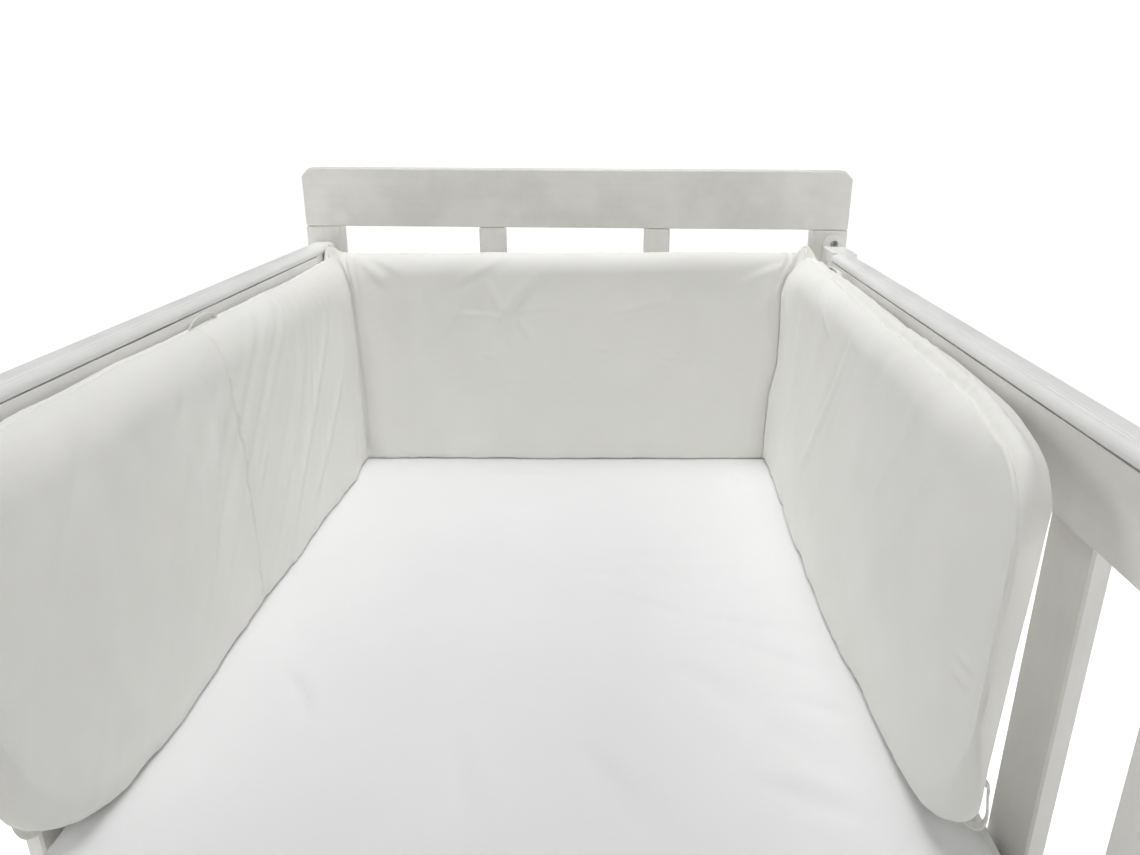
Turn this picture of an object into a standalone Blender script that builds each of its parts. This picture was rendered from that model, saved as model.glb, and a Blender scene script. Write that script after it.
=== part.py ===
"""Crib bumper standing round the head end of a wooden crib, with its fitted sheet and mattress.

Metres, +Z up, +Y toward the headboard, origin on the floor under the middle of the crib.
An inset is measured inward from the inner face of the rail or headboard that a panel stands
against, a distance "from head" runs from the headboard's inner face toward the foot, and a
height is measured up from the top of the sheet, unless a name says otherwise.
"""

from collections import namedtuple
from math import cos, pi, radians, sin, sqrt

import bmesh
import bpy
from mathutils import Vector

# Driving sizes of the crib
INNER_LENGTH = 1.220
INNER_WIDTH = 0.621
CAP_TOP = 0.800
GAP = 0.0003

HEAD = INNER_LENGTH / 2
RAIL = INNER_WIDTH / 2
SLEEP_TOP = CAP_TOP - 0.276

# End boards
POST_WIDTH = 0.0432
POST_DEPTH = 0.030
END_HALF_WIDTH = 0.345
BOARD_THICK = 0.022
TOP_RAIL_LOW = CAP_TOP + 0.0197
TOP_RAIL_TALL = 0.0717
CORNER_CLIP_ACROSS = 0.0105
CORNER_CLIP_DOWN = 0.0100
UPRIGHT_WIDTH = 0.0326
UPRIGHT_MIDDLE = 0.1053
MID_RAIL_TOP = CAP_TOP - 0.024
MID_RAIL_TALL = 0.060
BOTTOM_RAIL_LOW = 0.200
BOTTOM_RAIL_TALL = 0.060
BOARD_EASE = 0.0015
TOP_RAIL_EASE = 0.002
SLAT_THICK = 0.012
END_SLATS = 5
END_SLAT_WIDTH = 0.044

# Long sides
CAP_OUT = 0.0231
CAP_THICK = 0.0063
CAP_ROUND = 0.0055
CAP_STEPS = 4
GROOVE_TALL = 0.0025
GROOVE_DEEP = 0.0070
SIDE_BOARD_TALL = 0.056
SIDE_BOARD_THICK = 0.020
SIDE_SLATS = 10
SIDE_SLAT_WIDTH = 0.050
BLOCK_LENGTH = 0.0670
RIGHT_SIDE_PLAY = 0.002

# Mattress, its sheet and the bed base
SHEET_HALF_WIDTH = 0.2980
SHEET_HALF_LENGTH = 0.598
SHEET_THICK = 0.002
SHEET_TURN_UNDER = 0.035
SHEET_HEM_CORNER = 0.020
SHEET_EDGE_ROUND = 0.010
SHEET_CORNER = 0.037
BLOCK_EDGE_STEPS = 3
BLOCK_CORNER_STEPS = 4
CORNER_SHRINK = 0.6
MATTRESS_TALL = 0.0652
BASE_THICK = 0.012
BASE_SIDE_THICK = 0.010
BASE_SIDE_TOP = CAP_TOP - 0.2945
BASE_SIDE_TALL = 0.080

# Bumper
FOOT_ROUND = 0.0100
BACK_ROUND = 0.0160
CREASE_ROUND = 0.0025
LOW_CORNER = 0.100
HIGH_CORNER = 0.040
PANEL_STEP = 0.024
CORNER_STEPS = 8
CORNER_BLEND = 0.080
CORNER_BULGE = 0.007
# The front leans in a curve of this power, and its shoulder is a quarter oval made fuller.
LEAN_POWER = 1.4
SHOULDER_OUT_POWER = 0.9
SHOULDER_UP_POWER = 1.05
UNDER_SHARE = 0.45
# Steps along one section, from the front of its foot round to the back of it
FOOT_STEPS = 4
FACE_STEPS = 9
SHOULDER_STEPS = 5
BACK_ROUND_STEPS = 4
BACK_STEPS = 5
UNDER_STEPS = 3
# A free end rounds off through these turns, then its sections lie this far short of the end.
END_ROUND = 0.0200
END_TURNS = (14, 30, 48, 68)
END_SECTIONS = (0.022, 0.032, 0.045, 0.062, 0.080, LOW_CORNER)

# One row for each section of a panel. along: from head on the side panels, x on the head panel;
# foot and shoulder: inset of the front face low and high; thick: at the foot; back: inset of
# the back face at the top; crest: height of the top; seam: inset of the top seam; turn: how far
# below the crest the front starts to round over.
Section = namedtuple("Section", "along foot shoulder thick back crest seam turn")
RIGHT_PANEL = [
    Section(0.040, 0.0575, 0.0480, 0.046, 0.004, 0.2640, 0.0230, 0.046),
    Section(0.080, 0.0575, 0.0490, 0.047, 0.003, 0.2665, 0.0215, 0.034),
    Section(0.140, 0.0580, 0.0500, 0.048, 0.003, 0.2675, 0.0235, 0.027),
    Section(0.250, 0.0630, 0.0505, 0.048, 0.003, 0.2690, 0.0275, 0.025),
    Section(0.340, 0.0655, 0.0515, 0.048, 0.003, 0.2705, 0.0300, 0.025),
    Section(0.420, 0.0655, 0.0525, 0.047, 0.003, 0.2695, 0.0315, 0.026),
    Section(0.480, 0.0635, 0.0530, 0.045, 0.003, 0.2710, 0.0315, 0.025),
    Section(0.540, 0.0605, 0.0540, 0.042, 0.003, 0.2700, 0.0320, 0.026),
    Section(0.600, 0.0595, 0.0550, 0.037, 0.007, 0.2700, 0.0335, 0.026),
    Section(0.660, 0.0595, 0.0555, 0.029, 0.018, 0.2690, 0.0365, 0.026),
    Section(0.722, 0.0595, 0.0550, 0.021, 0.028, 0.2680, 0.0410, 0.026),
]
HEAD_PANEL = [
    Section(-0.275, 0.0640, 0.0485, 0.052, 0.003, 0.2640, 0.0240, 0.032),
    Section(-0.200, 0.0615, 0.0480, 0.050, 0.003, 0.2655, 0.0245, 0.028),
    Section(-0.110, 0.0585, 0.0460, 0.049, 0.003, 0.2670, 0.0240, 0.026),
    Section(-0.010, 0.0550, 0.0435, 0.047, 0.003, 0.2675, 0.0225, 0.025),
    Section(0.090, 0.0505, 0.0410, 0.043, 0.003, 0.2690, 0.0215, 0.024),
    Section(0.180, 0.0455, 0.0380, 0.039, 0.003, 0.2700, 0.0205, 0.024),
    Section(0.265, 0.0420, 0.0360, 0.036, 0.003, 0.2690, 0.0195, 0.030),
]
LEFT_PANEL = [
    Section(0.050, 0.0490, 0.0260, 0.041, 0.003, 0.2630, 0.0090, 0.036),
    Section(0.100, 0.0465, 0.0290, 0.039, 0.003, 0.2605, 0.0085, 0.037),
    Section(0.180, 0.0455, 0.0315, 0.038, 0.003, 0.2595, 0.0085, 0.037),
    Section(0.250, 0.0445, 0.0325, 0.038, 0.003, 0.2605, 0.0085, 0.038),
    Section(0.360, 0.0440, 0.0335, 0.037, 0.003, 0.2610, 0.0085, 0.037),
    Section(0.450, 0.0440, 0.0330, 0.037, 0.003, 0.2595, 0.0090, 0.038),
    Section(0.530, 0.0455, 0.0340, 0.038, 0.003, 0.2605, 0.0090, 0.036),
    Section(0.640, 0.0460, 0.0345, 0.037, 0.004, 0.2605, 0.0100, 0.036),
    Section(0.700, 0.0450, 0.0355, 0.034, 0.008, 0.2590, 0.0150, 0.034),
    Section(0.752, 0.0440, 0.0360, 0.029, 0.012, 0.2580, 0.0210, 0.032),
]

# Soft folds of the front face, one row each: where a fold starts high on its panel and where
# it ends low, how wide it is and how far it stands out (a trough is negative).
Fold = namedtuple("Fold", "panel high_along high low_along low width rise")
FOLDS = [
    Fold("left", 0.404, 0.245, 0.402, 0.010, 0.016, -0.0040),
    Fold("left", 0.366, 0.215, 0.374, 0.030, 0.034, 0.0030),
    Fold("left", 0.300, 0.225, 0.268, 0.050, 0.040, 0.0025),
    Fold("left", 0.462, 0.205, 0.450, 0.040, 0.034, -0.0025),
    Fold("left", 0.525, 0.170, 0.500, 0.020, 0.034, 0.0035),
    Fold("left", 0.610, 0.205, 0.574, 0.030, 0.040, -0.0025),
    Fold("left", 0.690, 0.220, 0.665, 0.050, 0.044, 0.0030),
    Fold("left", 0.125, 0.210, 0.160, 0.120, 0.036, 0.0025),
    Fold("head", -0.120, 0.215, -0.090, 0.130, 0.040, -0.0020),
    Fold("head", 0.130, 0.205, 0.200, 0.110, 0.044, 0.0020),
    Fold("head", -0.010, 0.090, 0.060, 0.020, 0.050, 0.0020),
    Fold("right", 0.120, 0.225, 0.150, 0.100, 0.034, 0.0030),
    Fold("right", 0.185, 0.220, 0.210, 0.120, 0.034, -0.0025),
    Fold("right", 0.300, 0.215, 0.285, 0.040, 0.060, 0.0025),
    Fold("right", 0.500, 0.210, 0.520, 0.050, 0.060, -0.0025),
    Fold("right", 0.592, 0.225, 0.610, 0.050, 0.044, 0.0025),
]

# Gathered cloth at the corners: how far each ear stands above the panels beside it, and the
# share of the height that rises with it.
LEFT_EAR = 0.0080
RIGHT_EAR = 0.0070
EAR_SHARE = 0.25

# Tape loops
TAPE_WIDTH = 0.0045
TAPE_THICK = 0.0012
TAPE_SEAT = 0.0005
TOP_LOOP_STEPS = 18
TOP_LOOP_POWER = 0.7
LOW_LOOP_STEPS = 3
LOW_LOOP_ACROSS = (0, 1, 0.25)
TopLoop = namedtuple("TopLoop", "side nearest length tall inset")
TOP_LOOPS = {
    "tie_loop_right_top": TopLoop("right", 0.112, 0.066, 0.0085, 0.0125),
    "tie_loop_left_top": TopLoop("left", 0.364, 0.054, 0.0100, 0.0085),
}
# The low loop hangs behind the rounded lower corner of a free end, one row for each bend of
# the tape: how far short of the end, how far out from the back face, and its height.
LoopBend = namedtuple("LoopBend", "short out height")
LOW_LOOP = [
    LoopBend(0.0306, -0.0120, 0.0245),
    LoopBend(0.0272, -0.0080, 0.0232),
    LoopBend(0.0245, -0.0030, 0.0240),
    LoopBend(0.0222, 0.0025, 0.0275),
    LoopBend(0.0215, 0.0060, 0.0350),
    LoopBend(0.0228, 0.0075, 0.0440),
    LoopBend(0.0258, 0.0070, 0.0530),
    LoopBend(0.0295, 0.0045, 0.0610),
    LoopBend(0.0325, 0.0016, 0.0665),
]

# Rail bracket
BRACKET_WIDTH = 0.0270
BRACKET_INSET = 0.0045
BRACKET_TALL = 0.034
LOBE_RADIUS = 0.0128
LOBE_RISE = 0.0012
LOBE_THICK = 0.0030
LOBE_SKIRT = 0.0050
LOBE_STEPS = 12

# Materials: colour, roughness, metallic
COTTON = ("white cotton", (0.86, 0.86, 0.84), 0.85, 0.0)
SHEET_COTTON = ("white sheet cotton", (0.90, 0.90, 0.89), 0.85, 0.0)
TICKING = ("mattress ticking", (0.80, 0.80, 0.77), 0.90, 0.0)
TAPE = ("white tape", (0.88, 0.88, 0.86), 0.80, 0.0)
GREY_PAINT = ("grey paint", (0.58, 0.58, 0.57), 0.50, 0.0)
PALE_PAINT = ("pale paint", (0.74, 0.74, 0.73), 0.45, 0.0)
WHITE_PLASTIC = ("white plastic", (0.82, 0.82, 0.81), 0.35, 0.0)
PLY = ("plywood", (0.62, 0.52, 0.38), 0.70, 0.0)


# Small helpers

def mix(a, b, share):
    return a + (b - a) * share


def smooth_step(value):
    value = min(1.0, max(0.0, value))
    return value * value * (3 - 2 * value)


def section_at(panel, along):
    """The panel's section at a place, on a smooth curve through the table's rows."""
    if along <= panel[0].along:
        return panel[0]._replace(along=along)
    if along >= panel[-1].along:
        return panel[-1]._replace(along=along)
    index = next(i for i, row in enumerate(panel) if row.along > along)
    before, after = panel[index - 1], panel[index]
    outer = panel[max(index - 2, 0)], panel[min(index + 1, len(panel) - 1)]
    share = (along - before.along) / (after.along - before.along)
    values = []
    for a, b, c, d in zip(outer[0], before, after, outer[1]):
        tangents = (c - a) / 2, (d - b) / 2
        rise = share * share * (3 - 2 * share)
        values.append(
            mix(b, c, rise)
            + tangents[0] * share * (1 - share) ** 2
            - tangents[1] * share * share * (1 - share)
        )
    return Section(*values)._replace(along=along)


def material(recipe):
    name, colour, roughness, metallic = recipe
    made = bpy.data.materials.get(name)
    if made is None:
        made = bpy.data.materials.new(name)
        made.use_nodes = True
        made.diffuse_color = (*colour, 1.0)
        shader = made.node_tree.nodes["Principled BSDF"]
        shader.inputs["Base Color"].default_value = (*colour, 1.0)
        shader.inputs["Roughness"].default_value = roughness
        shader.inputs["Metallic"].default_value = metallic
    return made


def add_object(name, shape, recipe, place=(0, 0, 0), round_piece=False):
    """One named object from a bmesh, with its faces pointing out."""
    bmesh.ops.recalc_face_normals(shape, faces=shape.faces)
    mesh = bpy.data.meshes.new(name)
    shape.to_mesh(mesh)
    shape.free()
    if round_piece:
        mesh.shade_smooth()
        mesh.set_sharp_from_angle(angle=radians(40))
    made = bpy.data.objects.new(name, mesh)
    made.location = place
    made.data.materials.append(material(recipe))
    bpy.context.scene.collection.objects.link(made)
    return made


def add_board(name, low, high, recipe):
    """A planed board between two corners, its edges eased."""
    low, high = Vector(low), Vector(high)
    size = high - low
    shape = bmesh.new()
    bmesh.ops.create_cube(shape, size=1.0)
    bmesh.ops.scale(shape, vec=size, verts=shape.verts)
    board = add_object(name, shape, recipe, place=(low + high) / 2)
    ease = board.modifiers.new("eased edges", "BEVEL")
    ease.width = BOARD_EASE
    ease.segments = 1
    ease.limit_method = "NONE"
    return board


def extruded(outline, to_point, start, end):
    """A bmesh of an outline carried from one end to the other; to_point places a corner."""
    shape = bmesh.new()
    ends = [
        [shape.verts.new(to_point(a, b, at)) for a, b in outline] for at in (start, end)
    ]
    count = len(outline)
    for i in range(count):
        j = (i + 1) % count
        shape.faces.new((ends[0][i], ends[0][j], ends[1][j], ends[1][i]))
    shape.faces.new(ends[0])
    shape.faces.new(ends[1])
    return shape


def skin_rings(shape, rings):
    """Join rings of points of one length into a closed skin with both ends capped."""
    verts = [[shape.verts.new(point) for point in ring] for ring in rings]
    count = len(rings[0])
    for one, other in zip(verts, verts[1:]):
        for i in range(count):
            j = (i + 1) % count
            shape.faces.new((one[i], one[j], other[j], other[i]))
    shape.faces.new(verts[0])
    shape.faces.new(verts[-1])


# The bumper

def front_inset(row, height):
    """How far in the front face stands at a height: it leans from foot to shoulder."""
    share = min(1.0, max(0.0, height / row.crest))
    return mix(row.foot, row.shoulder, share ** LEAN_POWER)


def back_inset(row, height):
    """How far in the back face stands at a height."""
    share = min(1.0, max(0.0, height / (row.crest - BACK_ROUND)))
    return mix(row.foot - row.thick, row.back, share)


def quarter(steps, start_angle):
    """Cosine and sine pairs round a quarter turn, both ends left out."""
    return [
        (cos(start_angle + pi / 2 * i / steps), sin(start_angle + pi / 2 * i / steps))
        for i in range(1, steps)
    ]


def fold_rise(panel, along, height):
    """How far the folds near a place lift the front face."""
    total = 0.0
    for fold in FOLDS:
        if fold.panel != panel:
            continue
        run = Vector((fold.low_along - fold.high_along, fold.low - fold.high))
        offset = Vector((along - fold.high_along, height - fold.high))
        share = offset.dot(run) / run.length_squared
        nearest = run * min(1.0, max(0.0, share))
        away = (offset - nearest).length / (fold.width / 2)
        if away < 1.0:
            total += fold.rise * (1 - away * away) ** 2
    return total


def ring_of(panel_name, row, lift=0.0, drop=0.0, fullness=1.0):
    """One closed section as (inset, height) points: up the front, over and down the back."""
    foot, crest = GAP + lift, row.crest - drop
    face_foot, face_top = foot + FOOT_ROUND, crest - row.turn
    front_low = front_inset(row, face_foot)
    points = [(front_low - FOOT_ROUND, foot)]
    for c, s in quarter(FOOT_STEPS, -pi / 2):
        points.append((front_low - FOOT_ROUND * (1 - c), foot + FOOT_ROUND * (1 + s)))
    for i in range(FACE_STEPS + 1):
        height = mix(face_foot, face_top, i / FACE_STEPS)
        rise = fold_rise(panel_name, row.along, height)
        points.append((front_inset(row, height) + rise, height))
    reach = front_inset(row, face_top) - row.seam
    for c, s in quarter(SHOULDER_STEPS, 0.0):
        inset = row.seam + reach * c ** SHOULDER_OUT_POWER
        points.append((inset, face_top + row.turn * s ** SHOULDER_UP_POWER))
    points.append((row.seam, crest))
    back_reach = row.seam - back_inset(row, crest)
    back_round = min(BACK_ROUND, row.turn)
    for c, s in quarter(BACK_ROUND_STEPS, pi / 2):
        points.append((row.seam + back_reach * c, crest - back_round * (1 - s)))
    for i in range(BACK_STEPS + 1):
        height = mix(crest - back_round, face_foot, i / BACK_STEPS)
        points.append((back_inset(row, height), height))
    back_low = back_inset(row, face_foot)
    under = min(FOOT_ROUND, (front_low - back_low) * UNDER_SHARE)
    for c, s in quarter(UNDER_STEPS, pi):
        points.append((back_low + under * (1 + c), foot + FOOT_ROUND * (1 + s)))
    points.append((back_low + under, foot))
    return [(flattened(row, inset, height, fullness), height) for inset, height in points]


def flattened(row, inset, height, fullness):
    """An inset drawn toward the middle of the section's thickness."""
    if fullness == 1.0:
        return inset
    middle = (front_inset(row, height) + back_inset(row, height)) / 2
    return mix(middle, inset, fullness)


def end_sections(panel, crease):
    """Where a side panel's sections lie, from its free end, and how full each one is."""
    end = panel[-1].along
    places = []
    for degrees in END_TURNS:
        turn = radians(degrees)
        places.append((end - END_ROUND * (1 - cos(turn)), sin(turn)))
    places += [(end - short, 1.0) for short in END_SECTIONS]
    span = end - LOW_CORNER - crease
    steps = round(span / PANEL_STEP)
    places += [(end - LOW_CORNER - span * i / steps, 1.0) for i in range(1, steps + 1)]
    return places


def side_rings(name, panel, sign, head_row):
    """Rings of a side panel from its free end to the corner at the headboard."""
    crease = front_inset(head_row, 0.0) + CREASE_ROUND
    placed = []
    for along, fullness in end_sections(panel, crease):
        short = panel[-1].along - along
        lift = corner_drop(short, LOW_CORNER)
        drop = corner_drop(short, HIGH_CORNER)
        ring = ring_of(name, section_at(panel, along), lift, drop, fullness)
        near_corner = smooth_step(1 - (along - crease) / CORNER_BLEND)
        points = []
        for inset, height in ring:
            slide = (front_inset(head_row, height) + CREASE_ROUND - crease) * near_corner
            points.append(place_on_side(sign, inset, along + slide, height))
        placed.append(points)
    return placed


def corner_drop(short, radius):
    """How much a rounded corner takes off at a distance short of the end."""
    if short >= radius:
        return 0.0
    return radius - sqrt(radius * radius - (radius - short) ** 2)


def place_on_side(sign, inset, from_head, height):
    return (sign * (RAIL - inset), HEAD - from_head, SLEEP_TOP + height)


def head_rings():
    """Rings of the head panel from the right corner to the left one."""
    right_row, left_row = RIGHT_PANEL[0], LEFT_PANEL[0]
    start = crease_at(1, right_row, 0.0)
    end = crease_at(-1, left_row, 0.0)
    steps = round((start - end) / PANEL_STEP)
    placed = []
    for i in range(steps + 1):
        x = mix(start, end, i / steps)
        near_right = smooth_step(1 - (start - x) / CORNER_BLEND)
        near_left = smooth_step(1 - (x - end) / CORNER_BLEND)
        points = []
        for inset, height in ring_of("head", section_at(HEAD_PANEL, x)):
            slide = (crease_at(1, right_row, height) - start) * near_right
            slide += (crease_at(-1, left_row, height) - end) * near_left
            points.append((x + slide, HEAD - inset, SLEEP_TOP + height))
        placed.append(points)
    return placed


def crease_at(sign, side_row, height):
    """The x of a corner's crease at a height."""
    return sign * (RAIL - front_inset(side_row, height) - CREASE_ROUND)


def corner_rings(sign, side_name, side_row, head_row, ear):
    """Rings fanned round a corner, from the side panel to the head panel."""
    side_ring = ring_of(side_name, side_row)
    head_ring = ring_of("head", head_row)
    return [
        corner_ring(sign, step / CORNER_STEPS, (side_ring, side_row), (head_ring, head_row), ear)
        for step in range(1, CORNER_STEPS)
    ]


def corner_ring(sign, way, side, head, ear):
    """One ring part of the way round a corner, fuller behind and raised into the ear."""
    side_ring, side_row = side
    head_ring, head_row = head
    turn = pi / 2 * way
    share = smooth_step(way)
    middle = sin(2 * turn)
    points = []
    for (side_inset, side_height), (head_inset, head_height) in zip(side_ring, head_ring):
        height = mix(side_height, head_height, share)
        behind_side = front_inset(side_row, side_height) - side_inset
        behind_head = front_inset(head_row, head_height) - head_inset
        behind = mix(behind_side, behind_head, share)
        depth = behind / max(side_row.thick, head_row.thick)
        behind += CORNER_BULGE * middle * depth
        ear_share = smooth_step((height / side_row.crest - 1 + EAR_SHARE) / EAR_SHARE)
        height += ear * middle * ear_share * depth
        across = crease_at(sign, side_row, height) + sign * cos(turn) * (behind + CREASE_ROUND)
        from_head = front_inset(head_row, height) + CREASE_ROUND
        from_head -= sin(turn) * (behind + CREASE_ROUND)
        points.append((across, HEAD - from_head, SLEEP_TOP + height))
    return points


def add_bumper():
    """The filled strip in one piece, from the right free end round to the left one."""
    head_right = section_at(HEAD_PANEL, HEAD_PANEL[-1].along)
    head_left = section_at(HEAD_PANEL, HEAD_PANEL[0].along)
    rings = side_rings("right", RIGHT_PANEL, 1, head_right)
    rings += corner_rings(1, "right", RIGHT_PANEL[0], head_right, RIGHT_EAR)
    rings += head_rings()
    rings += reversed(corner_rings(-1, "left", LEFT_PANEL[0], head_left, LEFT_EAR))
    rings += reversed(side_rings("left", LEFT_PANEL, -1, head_left))
    shape = bmesh.new()
    skin_rings(shape, rings)
    return add_object("bumper", shape, COTTON, round_piece=True)


# The tape loops

def add_tape(name, route, across):
    """A flat tape bent along a route of points; across is the way its width runs."""
    shape = bmesh.new()
    half = Vector(across).normalized() * TAPE_WIDTH / 2
    route = [Vector(point) for point in route]
    rings = []
    for i, point in enumerate(route):
        ahead = route[min(i + 1, len(route) - 1)] - route[max(i - 1, 0)]
        out = ahead.cross(half).normalized() * TAPE_THICK / 2
        edge, other_edge = point + half, point - half
        rings.append([edge + out, other_edge + out, other_edge - out, edge - out])
    skin_rings(shape, rings)
    return add_object(name, shape, TAPE, round_piece=True)


def top_height(name, panel, along, inset):
    """The height of a panel's upper side at an inset."""
    ring = ring_of(name, section_at(panel, along))
    return max(
        mix(a[1], b[1], (inset - a[0]) / (b[0] - a[0]))
        for a, b in zip(ring, ring[1:]) if min(a[0], b[0]) <= inset < max(a[0], b[0])
    )


def add_top_loop(name, loop):
    """A loop of tape standing on the top of a panel, its plane along the rail."""
    panel, sign = (RIGHT_PANEL, 1) if loop.side == "right" else (LEFT_PANEL, -1)
    middle = loop.nearest + loop.length / 2
    inner_edge = loop.inset + TAPE_WIDTH / 2
    route = []
    for i in range(TOP_LOOP_STEPS + 1):
        turn = pi * i / TOP_LOOP_STEPS
        from_head = middle - loop.length / 2 * cos(turn)
        seat = top_height(loop.side, panel, from_head, inner_edge) + TAPE_THICK / 2 + TAPE_SEAT
        height = seat + loop.tall * sin(turn) ** TOP_LOOP_POWER
        route.append(place_on_side(sign, loop.inset, from_head, height))
    return add_tape(name, route, (1, 0, 0))


def curve_through(points, steps):
    """Points along a smooth curve through the given ones."""
    padded = [points[0], *points, points[-1]]
    route = []
    for before, start, end, after in zip(padded, padded[1:], padded[2:], padded[3:]):
        for i in range(steps):
            t = i / steps
            route.append(
                start * (2 * t ** 3 - 3 * t * t + 1) + end * (3 * t * t - 2 * t ** 3)
                + (end - before) / 2 * t * (1 - t) ** 2 - (after - start) / 2 * t * t * (1 - t)
            )
    return route + [points[-1]]


def add_low_loop(name, panel, sign):
    """A loop of tape behind the rounded lower corner of a panel's free end."""
    bends = []
    for bend in LOW_LOOP:
        along = panel[-1].along - bend.short
        inset = back_inset(section_at(panel, along), bend.height) - bend.out
        bends.append(Vector(place_on_side(sign, inset, along, bend.height)))
    return add_tape(name, curve_through(bends, LOW_LOOP_STEPS), LOW_LOOP_ACROSS)


# Mattress, sheet and bed base

def rounded_rectangle(half_x, half_y, radius, steps=BLOCK_CORNER_STEPS):
    points = []
    for quadrant, (sx, sy) in enumerate(((1, 1), (-1, 1), (-1, -1), (1, -1))):
        for i in range(steps + 1):
            angle = pi / 2 * (quadrant + i / steps)
            points.append(
                (sx * (half_x - radius) + radius * cos(angle),
                 sy * (half_y - radius) + radius * sin(angle))
            )
    return points


def block_rings(half_x, half_y, low, high, edge, corner):
    """Rings of a block with rounded edges and corners, from its underside to its top."""
    rings = []
    for level, sign in ((low, -1), (high, 1)):
        for i in range(BLOCK_EDGE_STEPS + 1):
            share = i / BLOCK_EDGE_STEPS
            turn = pi / 2 * (1 - share if sign < 0 else share)
            shrink = edge * (1 - cos(turn))
            z = level + sign * edge * (sin(turn) - 1)
            radius = corner - shrink * CORNER_SHRINK
            outline = rounded_rectangle(half_x - shrink, half_y - shrink, radius)
            rings.append([(x, y, z) for x, y in outline])
    return rings


def add_mattress():
    under = SHEET_THICK + GAP
    top = SLEEP_TOP - under
    shape = bmesh.new()
    rings = block_rings(
        SHEET_HALF_WIDTH - under, SHEET_HALF_LENGTH - under,
        top - MATTRESS_TALL, top, SHEET_EDGE_ROUND - under, SHEET_CORNER - under,
    )
    skin_rings(shape, rings)
    return add_object("mattress", shape, TICKING, round_piece=True)


def add_sheet():
    """The fitted sheet: a thin skin over the mattress, turned under it and open below."""
    under = SHEET_THICK + GAP
    bottom = SLEEP_TOP - 2 * under - MATTRESS_TALL
    outer = block_rings(
        SHEET_HALF_WIDTH, SHEET_HALF_LENGTH, bottom, SLEEP_TOP, SHEET_EDGE_ROUND, SHEET_CORNER
    )
    inner = block_rings(
        SHEET_HALF_WIDTH - SHEET_THICK, SHEET_HALF_LENGTH - SHEET_THICK,
        bottom + SHEET_THICK, SLEEP_TOP - SHEET_THICK,
        SHEET_EDGE_ROUND - SHEET_THICK, SHEET_CORNER - SHEET_THICK,
    )
    hem_x, hem_y = (half - SHEET_TURN_UNDER for half in (SHEET_HALF_WIDTH, SHEET_HALF_LENGTH))
    hem = rounded_rectangle(hem_x, hem_y, SHEET_HEM_CORNER)
    outer_hem = [(x, y, bottom) for x, y in hem]
    inner_hem = [(x, y, bottom + SHEET_THICK) for x, y in hem]
    shape = bmesh.new()
    skin_rings(shape, outer[::-1] + [outer_hem, inner_hem] + inner)
    return add_object("fitted_sheet", shape, SHEET_COTTON, round_piece=True)


def add_bed_base():
    top = SLEEP_TOP - 2 * (SHEET_THICK + GAP) - MATTRESS_TALL - GAP
    side_in = RAIL - GAP * 4 - BASE_SIDE_THICK
    half_length = HEAD - GAP
    add_board(
        "base_panel", (-side_in + GAP, -half_length, top - BASE_THICK),
        (side_in - GAP, half_length, top), PLY,
    )
    for name, sign in (("base_side_left", -1), ("base_side_right", 1)):
        edges = sorted((sign * side_in, sign * (side_in + BASE_SIDE_THICK)))
        add_board(
            name, (edges[0], -half_length, BASE_SIDE_TOP - BASE_SIDE_TALL),
            (edges[1], half_length, BASE_SIDE_TOP), PLY,
        )


# The crib

def add_end_top_rail(name, face, sign):
    """The tall top rail of an end board, its upper corners clipped."""
    half, low, high = END_HALF_WIDTH, TOP_RAIL_LOW, TOP_RAIL_LOW + TOP_RAIL_TALL
    outline = [
        (-half, low), (half, low), (half, high - CORNER_CLIP_DOWN),
        (half - CORNER_CLIP_ACROSS, high), (-half + CORNER_CLIP_ACROSS, high),
        (-half, high - CORNER_CLIP_DOWN),
    ]
    shape = extruded(outline, lambda x, z, y: (x, y, z), face, face + sign * BOARD_THICK)
    rail = add_object(name, shape, GREY_PAINT)
    ease = rail.modifiers.new("eased edges", "BEVEL")
    ease.width = TOP_RAIL_EASE
    ease.segments = 2
    ease.limit_method = "ANGLE"
    return rail


def add_end_boards():
    post_in = END_HALF_WIDTH - POST_WIDTH
    inner = post_in - GAP
    bottom_top = BOTTOM_RAIL_LOW + BOTTOM_RAIL_TALL
    for end, sign in (("head", 1), ("foot", -1)):
        face = sign * HEAD

        def board(name, x_low, x_high, z_low, z_high, thick=BOARD_THICK, back=0.0):
            near, far = face + sign * back, face + sign * (back + thick)
            add_board(
                f"{end}board_{name}", (x_low, min(near, far), z_low),
                (x_high, max(near, far), z_high), GREY_PAINT,
            )

        add_end_top_rail(f"{end}board_top_rail", face, sign)
        board("post_left", -END_HALF_WIDTH, -post_in, 0.0, TOP_RAIL_LOW - GAP, POST_DEPTH)
        board("post_right", post_in, END_HALF_WIDTH, 0.0, TOP_RAIL_LOW - GAP, POST_DEPTH)
        board("bottom_rail", -inner, inner, BOTTOM_RAIL_LOW, bottom_top)
        slat_top = TOP_RAIL_LOW - GAP
        if end == "head":
            mid_low = MID_RAIL_TOP - MID_RAIL_TALL
            board("mid_rail", -inner, inner, mid_low, MID_RAIL_TOP)
            for place, middle in (("left", -UPRIGHT_MIDDLE), ("right", UPRIGHT_MIDDLE)):
                board(
                    f"upright_{place}", middle - UPRIGHT_WIDTH / 2, middle + UPRIGHT_WIDTH / 2,
                    MID_RAIL_TOP + GAP, TOP_RAIL_LOW - GAP,
                )
            slat_top = mid_low - GAP
        gap = (2 * post_in - END_SLATS * END_SLAT_WIDTH) / (END_SLATS + 1)
        for i in range(END_SLATS):
            x = -post_in + gap + i * (gap + END_SLAT_WIDTH)
            board(
                f"slat_{i + 1}", x, x + END_SLAT_WIDTH, bottom_top + GAP, slat_top,
                SLAT_THICK, (BOARD_THICK - SLAT_THICK) / 2,
            )


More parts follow.
